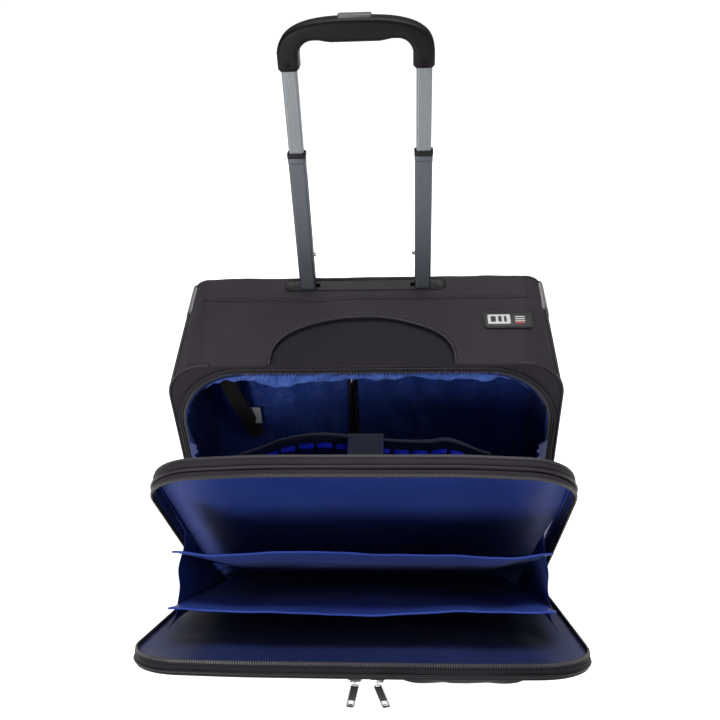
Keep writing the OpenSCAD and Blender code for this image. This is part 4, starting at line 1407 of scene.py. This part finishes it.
def makeAccessoryPocket():
    cx, cz, wide, high = flapSize["pouch"]
    face = flapSize["pocket"]
    bm = bmesh.new()  # scaled to metres for the simulation, then back
    outline = roundedOutline(wide - 4, high - 4, 16, 8)
    plate(bm, outline, 0, 10.5)
    bmesh.ops.transform(bm, matrix=mm, verts=bm.verts[:])
    bm = puff(bm, "pouch", 5.0, 0.006, 0.004, lambda p: p.z < 0.0012)
    for vert in bm.verts:
        p = vert.co * 1000
        droop = 2.2 * smooth(0, 9, p.z) * hump(p.x, -12, 46) * hump(p.y, 10, 40)
        p.z = min(12.4, p.z + droop + soft(p.x, p.y, 0, 26, 1.4) * smooth(1.5, 6, p.z))
        vert.co = Vector((cx + p.x, face - p.z, cz + p.y))
    layer = bm.loops.layers.uv.verify()
    for face3 in bm.faces:
        for loop in face3.loops:
            loop[layer].uv = (loop.vert.co.x * 0.001, (loop.vert.co.z - loop.vert.co.y) * 0.001)
    bmesh.ops.recalc_face_normals(bm, faces=bm.faces[:])
    finishPiece("accessoryPocket", bm, inFlap, black, "front_flap", "accessory_pocket",
                divide=1)
    bm = bmesh.new()
    rim = [Vector((cx + x, face - 1.2, cz + y)) for x, y in roundedOutline(wide - 2.4, high - 2.4, 16,
            8)]
    roundBar(bm, rim, 1.3, closed=True, ring=2)
    finishPiece("accessoryPocketPiping", bm, inFlap, cord, "front_flap")
    bm = bmesh.new()
    stitches(bm, [Vector((cx + x, face - 0.5, cz + y)) for x, y in roundedOutline(wide + 4, high + 4,
            18, 8)], (0, -1, 0))
    finishPiece("accessoryPocketStitching", bm, inFlap, thread, "front_flap")


pullSize = dict(length=40, width=9, lean=(10, -12), at=(-2, 20))


def makeSliders():
    face = flapSize["face"]
    out = 4.7
    pivot = face - 3.3 - out - 2.2
    for index, word in enumerate(("left", "right")):
        x, z = pullSize["at"][index], flapSize["zipAt"]
        bm = bmesh.new()
        at = Matrix.Translation((x, face - 3.3, z)) @ Matrix.Rotation(math.radians(90), 4, "X")
        plate(bm, [(p, q * (1 - 0.16 * (1 if (p > 0) == (index == 0) else -1) * abs(p) / 7)) for p,
                   q in roundedOutline(14, 9, 2.6)], 0, 3.0, at)
        finishPiece("pocketSlider_" + word, bm, inFlap, steel, "slider_" + word,
                    "pocket_slider_" + word, round=0.5)
        bm = bmesh.new()
        roundBar(bm, [Vector((x, face - 6.0, z + 4.0)), Vector((x, face - 8.6, z + 3.6)),
                      Vector((x, pivot + 0.6, z + 1.4)),
                      Vector((x, pivot + 0.6, z - 1.6)), Vector((x, face - 7.6, z - 3.6)), Vector((x,
                              face - 6.0, z - 4.0))], 0.75)
        finishPiece("pocketSliderLoop_" + word, bm, inFlap, nickel, "slider_" + word)
        hang = Matrix.Translation((x, pivot, z)) @ Matrix.Rotation(math.radians(-flapLean), 4, "X") \
            @ Matrix.Rotation(math.radians(pullSize["lean"][index]), 4,
                              "Y") @ Matrix.Rotation(math.radians(90), 4, "X")
        bm = bmesh.new()  # the nickel edge: a frame with its eye
        length, width = pullSize["length"], pullSize["width"]
        outline = [(p, q - length / 2 + 0.5) for p, q in roundedOutline(width - 1.2, length - 0.4, 2.4)]
        roundBar(bm, [Vector((p, q, 0)) for p, q in outline], 0.62, closed=True, ring=2)
        eye = [(p, q + 9.2 - length) for p, q in roundedOutline(5.2, 8.2, 0.9)]
        roundBar(bm, [Vector((p, q, 0)) for p, q in eye], 0.75, closed=True, ring=2)
        roundBar(bm, [Vector((-2.0, -0.6, 0)), Vector((2.0, -0.6, 0))], 0.9)
        finishPiece("pocketPull_" + word, bm, inFlap @ hang, nickel, "pull_" + word,
                    "pocket_pull_" + word)
        bm = bmesh.new()  # dark enamel between the edges
        solid = [(-3.6, -2.2), (3.6, -2.2), (3.6, 13.9 - length), (2.2, 13.6 - length),
                 (-2.2, 13.6 - length), (-3.6, 13.9 - length)]
        plate(bm, solid, -0.8, 0.8)
        for side in (-1, 1):
            plate(bm, [(side * 2.9, 14 - length), (side * 3.7, 14 - length), (side * 3.7, 3 - length),
                       (side * 2.9, 3 - length)], -0.5, 0.5)
        plate(bm, [(-3.2, 4.4 - length), (3.2, 4.4 - length), (3.0, 1.2 - length),
                   (-3.0, 1.2 - length)], -0.5, 0.5)
        finishPiece("pocketPullEnamel_" + word, bm, inFlap @ hang, enamel, "pull_" + word,
                    round=0.2)


makeFlap()
makeFlapPocket()
makeAccessoryPocket()
makeSliders()
print("flap made")


# handle

def cutWith(piece, cutter):  # takes a shape out of a piece and keeps the result
    cut = piece.modifiers.new("cut", "BOOLEAN")
    cut.operation, cut.object, cut.solver = "DIFFERENCE", cutter, "EXACT"
    bpy.context.view_layer.update()
    done = bpy.data.meshes.new_from_object(piece.evaluated_get(bpy.context.evaluated_depsgraph_get()))
    piece.modifiers.clear()
    piece.data = done
    bpy.data.objects.remove(cutter)


def looseObject(name, bm, space=mm):
    bmesh.ops.transform(bm, matrix=space, verts=bm.verts[:])
    mesh = bpy.data.meshes.new(name)
    bm.to_mesh(mesh)
    bm.free()
    made = bpy.data.objects.new(name, mesh)
    scene.collection.objects.link(made)
    return made


gripSize = dict(edge=5.2, gap=145, arm=24)


def makeGrip():
    low, high = boxSize("grip")
    tubeY, half, g = (low.y + high.y) / 2, high.x, gripSize
    outline = []
    for i in range(41):  # over the crown
        a = math.pi * i / 40
        c, s = math.cos(a), math.sin(a)
        outline.append((half * math.copysign(abs(c) ** (2 / 2.9), c),
                        low.z + 13 + (high.z - low.z - 13) * abs(s) ** (2 / 2.7)))
    outline += [(-half, low.z + 3), (-half + 3, low.z)]
    inner = g["gap"] / 2 - g["arm"] / 2
    outline += [(-inner - 3, low.z), (-inner, low.z + 3)]
    under = high.z - 21
    for i in range(9):
        a = math.radians(180 - 90 * i / 8)
        outline.append((-inner + 16 + 16 * math.cos(a), under - 16 + 16 * math.sin(a)))
    for x in evenly(-38, 38, 13):  # the soft pad under the bar
        outline.append((x, under - 2.2 * smooth(38, 27, abs(x))))
    for i in range(9):
        a = math.radians(90 - 90 * i / 8)
        outline.append((inner - 16 + 16 * math.cos(a), under - 16 + 16 * math.sin(a)))
    outline += [(inner, low.z + 3), (inner + 3, low.z), (half - 3, low.z), (half, low.z + 3)]
    bm = bmesh.new()
    at = Matrix.Translation((0, high.y, 0)) @ Matrix.Rotation(math.radians(90), 4, "X")
    plate(bm, outline, 0.2, high.y - low.y - 0.2, at)
    rims = [edge for edge in bm.edges if len(edge.link_faces) == 2
            and any(len(face.verts) > 8 for face in edge.link_faces)]
    bmesh.ops.bevel(bm, geom=rims, offset=g["edge"], offset_type="OFFSET", segments=5, profile=0.5,
                    affect="EDGES",
                    clamp_overlap=True, material=-1)
    grip = finishPiece("grip", bm, mm, gripPlastic, "handle_upper", "grip")
    for side in (-1, 1):
        bm = bmesh.new()
        bmesh.ops.create_cone(bm, cap_ends=True, segments=28, radius1=3.6, radius2=3.4, depth=5,
                              matrix=Matrix.Translation((side * g["gap"] / 2, low.y + 0.4,
                                      low.z + 8)) @ Matrix.Rotation(math.radians(90), 4, "X"))
        cutWith(grip, looseObject("screwRoom", bm))
    bm = bmesh.new()
    roundedPlate(bm, 36.8, 14.8, 4.2, high.z - 9, high.z + 9, at=(0, tubeY))
    cutWith(grip, looseObject("buttonRoom", bm))
    grip.data.polygons.foreach_set("use_smooth", [True] * len(grip.data.polygons))
    grip.data.set_sharp_from_angle(angle=math.radians(36))
    bm = bmesh.new()  # the groove where the two halves meet, along the crown
    ridge = [Vector((x, low.y + 2.4, z - 3.6)) for x, z in outline[2:39]]
    roundBar(bm, ridge, 0.5, ring=1)
    finishPiece("gripRidge", bm, mm, gripPlastic, "handle_upper")
    low, high = boxSize("release_button")
    bm = bmesh.new()
    made = roundedPlate(bm, 36, 14, 4, low.z, high.z - 0.2, at=(0, tubeY))
    for vert in made:
        if vert.co.z > high.z - 1:
            vert.co.z -= 1.3 * (vert.co.x / 18) ** 2
    finishPiece("releaseButton", bm, mm, greyPlastic, "button", "release_button",
                round=1.2, rounds=3)
    low, high = boxSize("release_linkage")
    bm = bmesh.new()
    bar = [(-66, 0), (-60, 4), (60, 4), (66, 0)]
    plate(bm, bar, -3, 3, Matrix.Translation((0, tubeY, high.z - 4)) @ Matrix.Rotation(math.radians(90),
            4, "X"))
    for side in (-1, 1):
        roundBar(bm, [Vector((side * 62, tubeY, high.z - 2)), Vector((side * 70, tubeY, high.z - 6)),
                      Vector((side * 72.5, tubeY, high.z - 14)),
                      Vector((side * 72.5, tubeY, low.z + 0.1))], 1.9, ring=2)
    finishPiece("releaseLinkage", bm, mm, steel, "button", "release_linkage", round=0.3)


def makeBezel():
    low, high = boxSize("handle_bezel")
    b = bodySize
    tubeY = (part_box("mid_tube_left")[0].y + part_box("mid_tube_left")[1].y) * 500
    topZ0 = b["frontTop"] + b["rise"] - (b["back"] - tubeY) * math.tan(b["slope"])
    at = Matrix.Translation((0, tubeY, topZ0)) @ Matrix.Rotation(b["slope"], 4, "X")
    bm = bmesh.new()
    roundedPlate(bm, 203, 22, 8, -4.5, 3.0, cuts=8)
    top = [face for face in bm.faces if abs(face.normal.z) > 0.9 and face.calc_center_median().z > 2]
    bmesh.ops.inset_region(bm, faces=top, thickness=3.0, depth=0)
    bmesh.ops.translate(bm, verts=list({vert for face in top for vert in face.verts}), vec=(0, 0, -1.9))
    bezel = finishPiece("handleBezel", bm, mm @ at, blackPlastic, "case_body", "handle_bezel",
                        round=0.8, rounds=3)
    mesh = bpy.data.meshes.new_from_object(bezel.evaluated_get(bpy.context.evaluated_depsgraph_get()))
    bezel.modifiers.clear()
    bezel.data = mesh
    for side, word in sides:
        lowT, highT = boxSize("mid_tube_" + word)
        bm = bmesh.new()
        roundedPlate(bm, highT.x - lowT.x + 1.0, highT.y - lowT.y + 1.0, 3.4, topZ0 - 20, topZ0 + 20,
                     at=((lowT.x + highT.x) / 2, tubeY))
        cutWith(bezel, looseObject("tubeRoom", bm))
        inside = -side * ((highT.x - lowT.x) / 2 + 2) + (lowT.x + highT.x) / 2
        bm = bmesh.new()
        roundedPlate(bm, 7, 6.4, 1.0, topZ0 - 20, topZ0 + 20, at=(inside, tubeY))
        cutWith(bezel, looseObject("pinRoom", bm))
    bezel.data.polygons.foreach_set("use_smooth", [True] * len(bezel.data.polygons))
    bezel.data.set_sharp_from_angle(angle=math.radians(36))


def makeCollars():  # a thin dark band closes the top of each middle tube
    low, high = boxSize("mid_collars")
    bm = bmesh.new()
    for side, word in sides:
        tubeLow, tubeHigh = boxSize("mid_tube_" + word)
        innerLow, innerHigh = boxSize("upper_tube_" + word)
        cx, cy = (tubeLow.x + tubeHigh.x) / 2, (tubeLow.y + tubeHigh.y) / 2
        wide, deep = tubeHigh.x - tubeLow.x + 0.7, tubeHigh.y - tubeLow.y + 0.7
        inner = roundedOutline(innerHigh.x - innerLow.x + 0.3, innerHigh.y - innerLow.y + 0.3, 2.6)
        for base, top, grow, index in ((low.z, high.z - 5.2, 0.0, 1), (high.z - 5.2, high.z, 0.8, 0)):
            outer = roundedOutline(wide + grow, deep + grow, 3.2)
            rings = [[bm.verts.new((cx + x, cy + y, z)) for x, y in ring]
                     for ring, z in ((inner, base), (outer, base), (outer, top), (inner, top))]
            for first, second in zip(rings, rings[1:] + rings[:1]):
                for i in range(len(outer)):
                    k = (i + 1) % len(outer)
                    bm.faces.new((first[i], first[k], second[k], second[i])).material_index = index
    bmesh.ops.recalc_face_normals(bm, faces=bm.faces[:])
    finishPiece("midCollars", bm, mm, [blackPlastic, darkTube], "handle_middle", "mid_collars",
                round=0.3)


makeGrip()
makeCollars()
makeBezel()
print("handle made")


# finishes for the pieces kept from the frame

kept = {
    "base_tray": blackPlastic, "front_skid": blackPlastic,
    "wheel_housing_left": blackPlastic, "wheel_housing_right": blackPlastic,
    "wheel_axles": steel, "wheel_tyre_left": tyreRubber, "wheel_tyre_right": tyreRubber,
    "wheel_hub_left": greyPlastic, "wheel_hub_right": greyPlastic, "tube_bracket": blackPlastic,
    "outer_tube_left": darkTube, "outer_tube_right": darkTube,
    "mid_tube_left": darkTube, "mid_tube_right": darkTube,
    "upper_tube_left": lightTube, "upper_tube_right": lightTube,
    "lock_pin_left": steel, "lock_pin_right": steel, "grip_screws": enamel,
}
for name, material in kept.items():
    node = frame["nodes"][name]
    node.data.materials.clear()
    node.data.materials.append(material)
print("frame pieces finished")


# floor and lights

bm = bmesh.new()
bmesh.ops.create_grid(bm, x_segments=2, y_segments=2, size=6.0)
mesh = bpy.data.meshes.new("floor")
bm.to_mesh(mesh)
bm.free()
mesh.materials.append(floorTone)
floor = bpy.data.objects.new("floor", mesh)
scene.collection.objects.link(floor)
floor.visible_diffuse = False

studio = dict(world=0.16, top=38, front=34, side=7)

world = bpy.data.worlds.new("studio")
world.use_nodes = True
world.node_tree.nodes["Background"].inputs["Color"].default_value = (1, 1, 1, 1)
world.node_tree.nodes["Background"].inputs["Strength"].default_value = studio["world"]
scene.world = world
softLight("topLight", (0.2, 0.6, 2.5), (1.8, 1.4), studio["top"], aim=(0, 0, 0.3))
softLight("frontLight", (-1.15, -2.15, 1.05), (1.2, 0.8), studio["front"], aim=(0, -0.15, 0.32))
softLight("sideLight", (2.0, -1.0, 1.4), (1.0, 1.4), studio["side"], aim=(0, 0, 0.3))
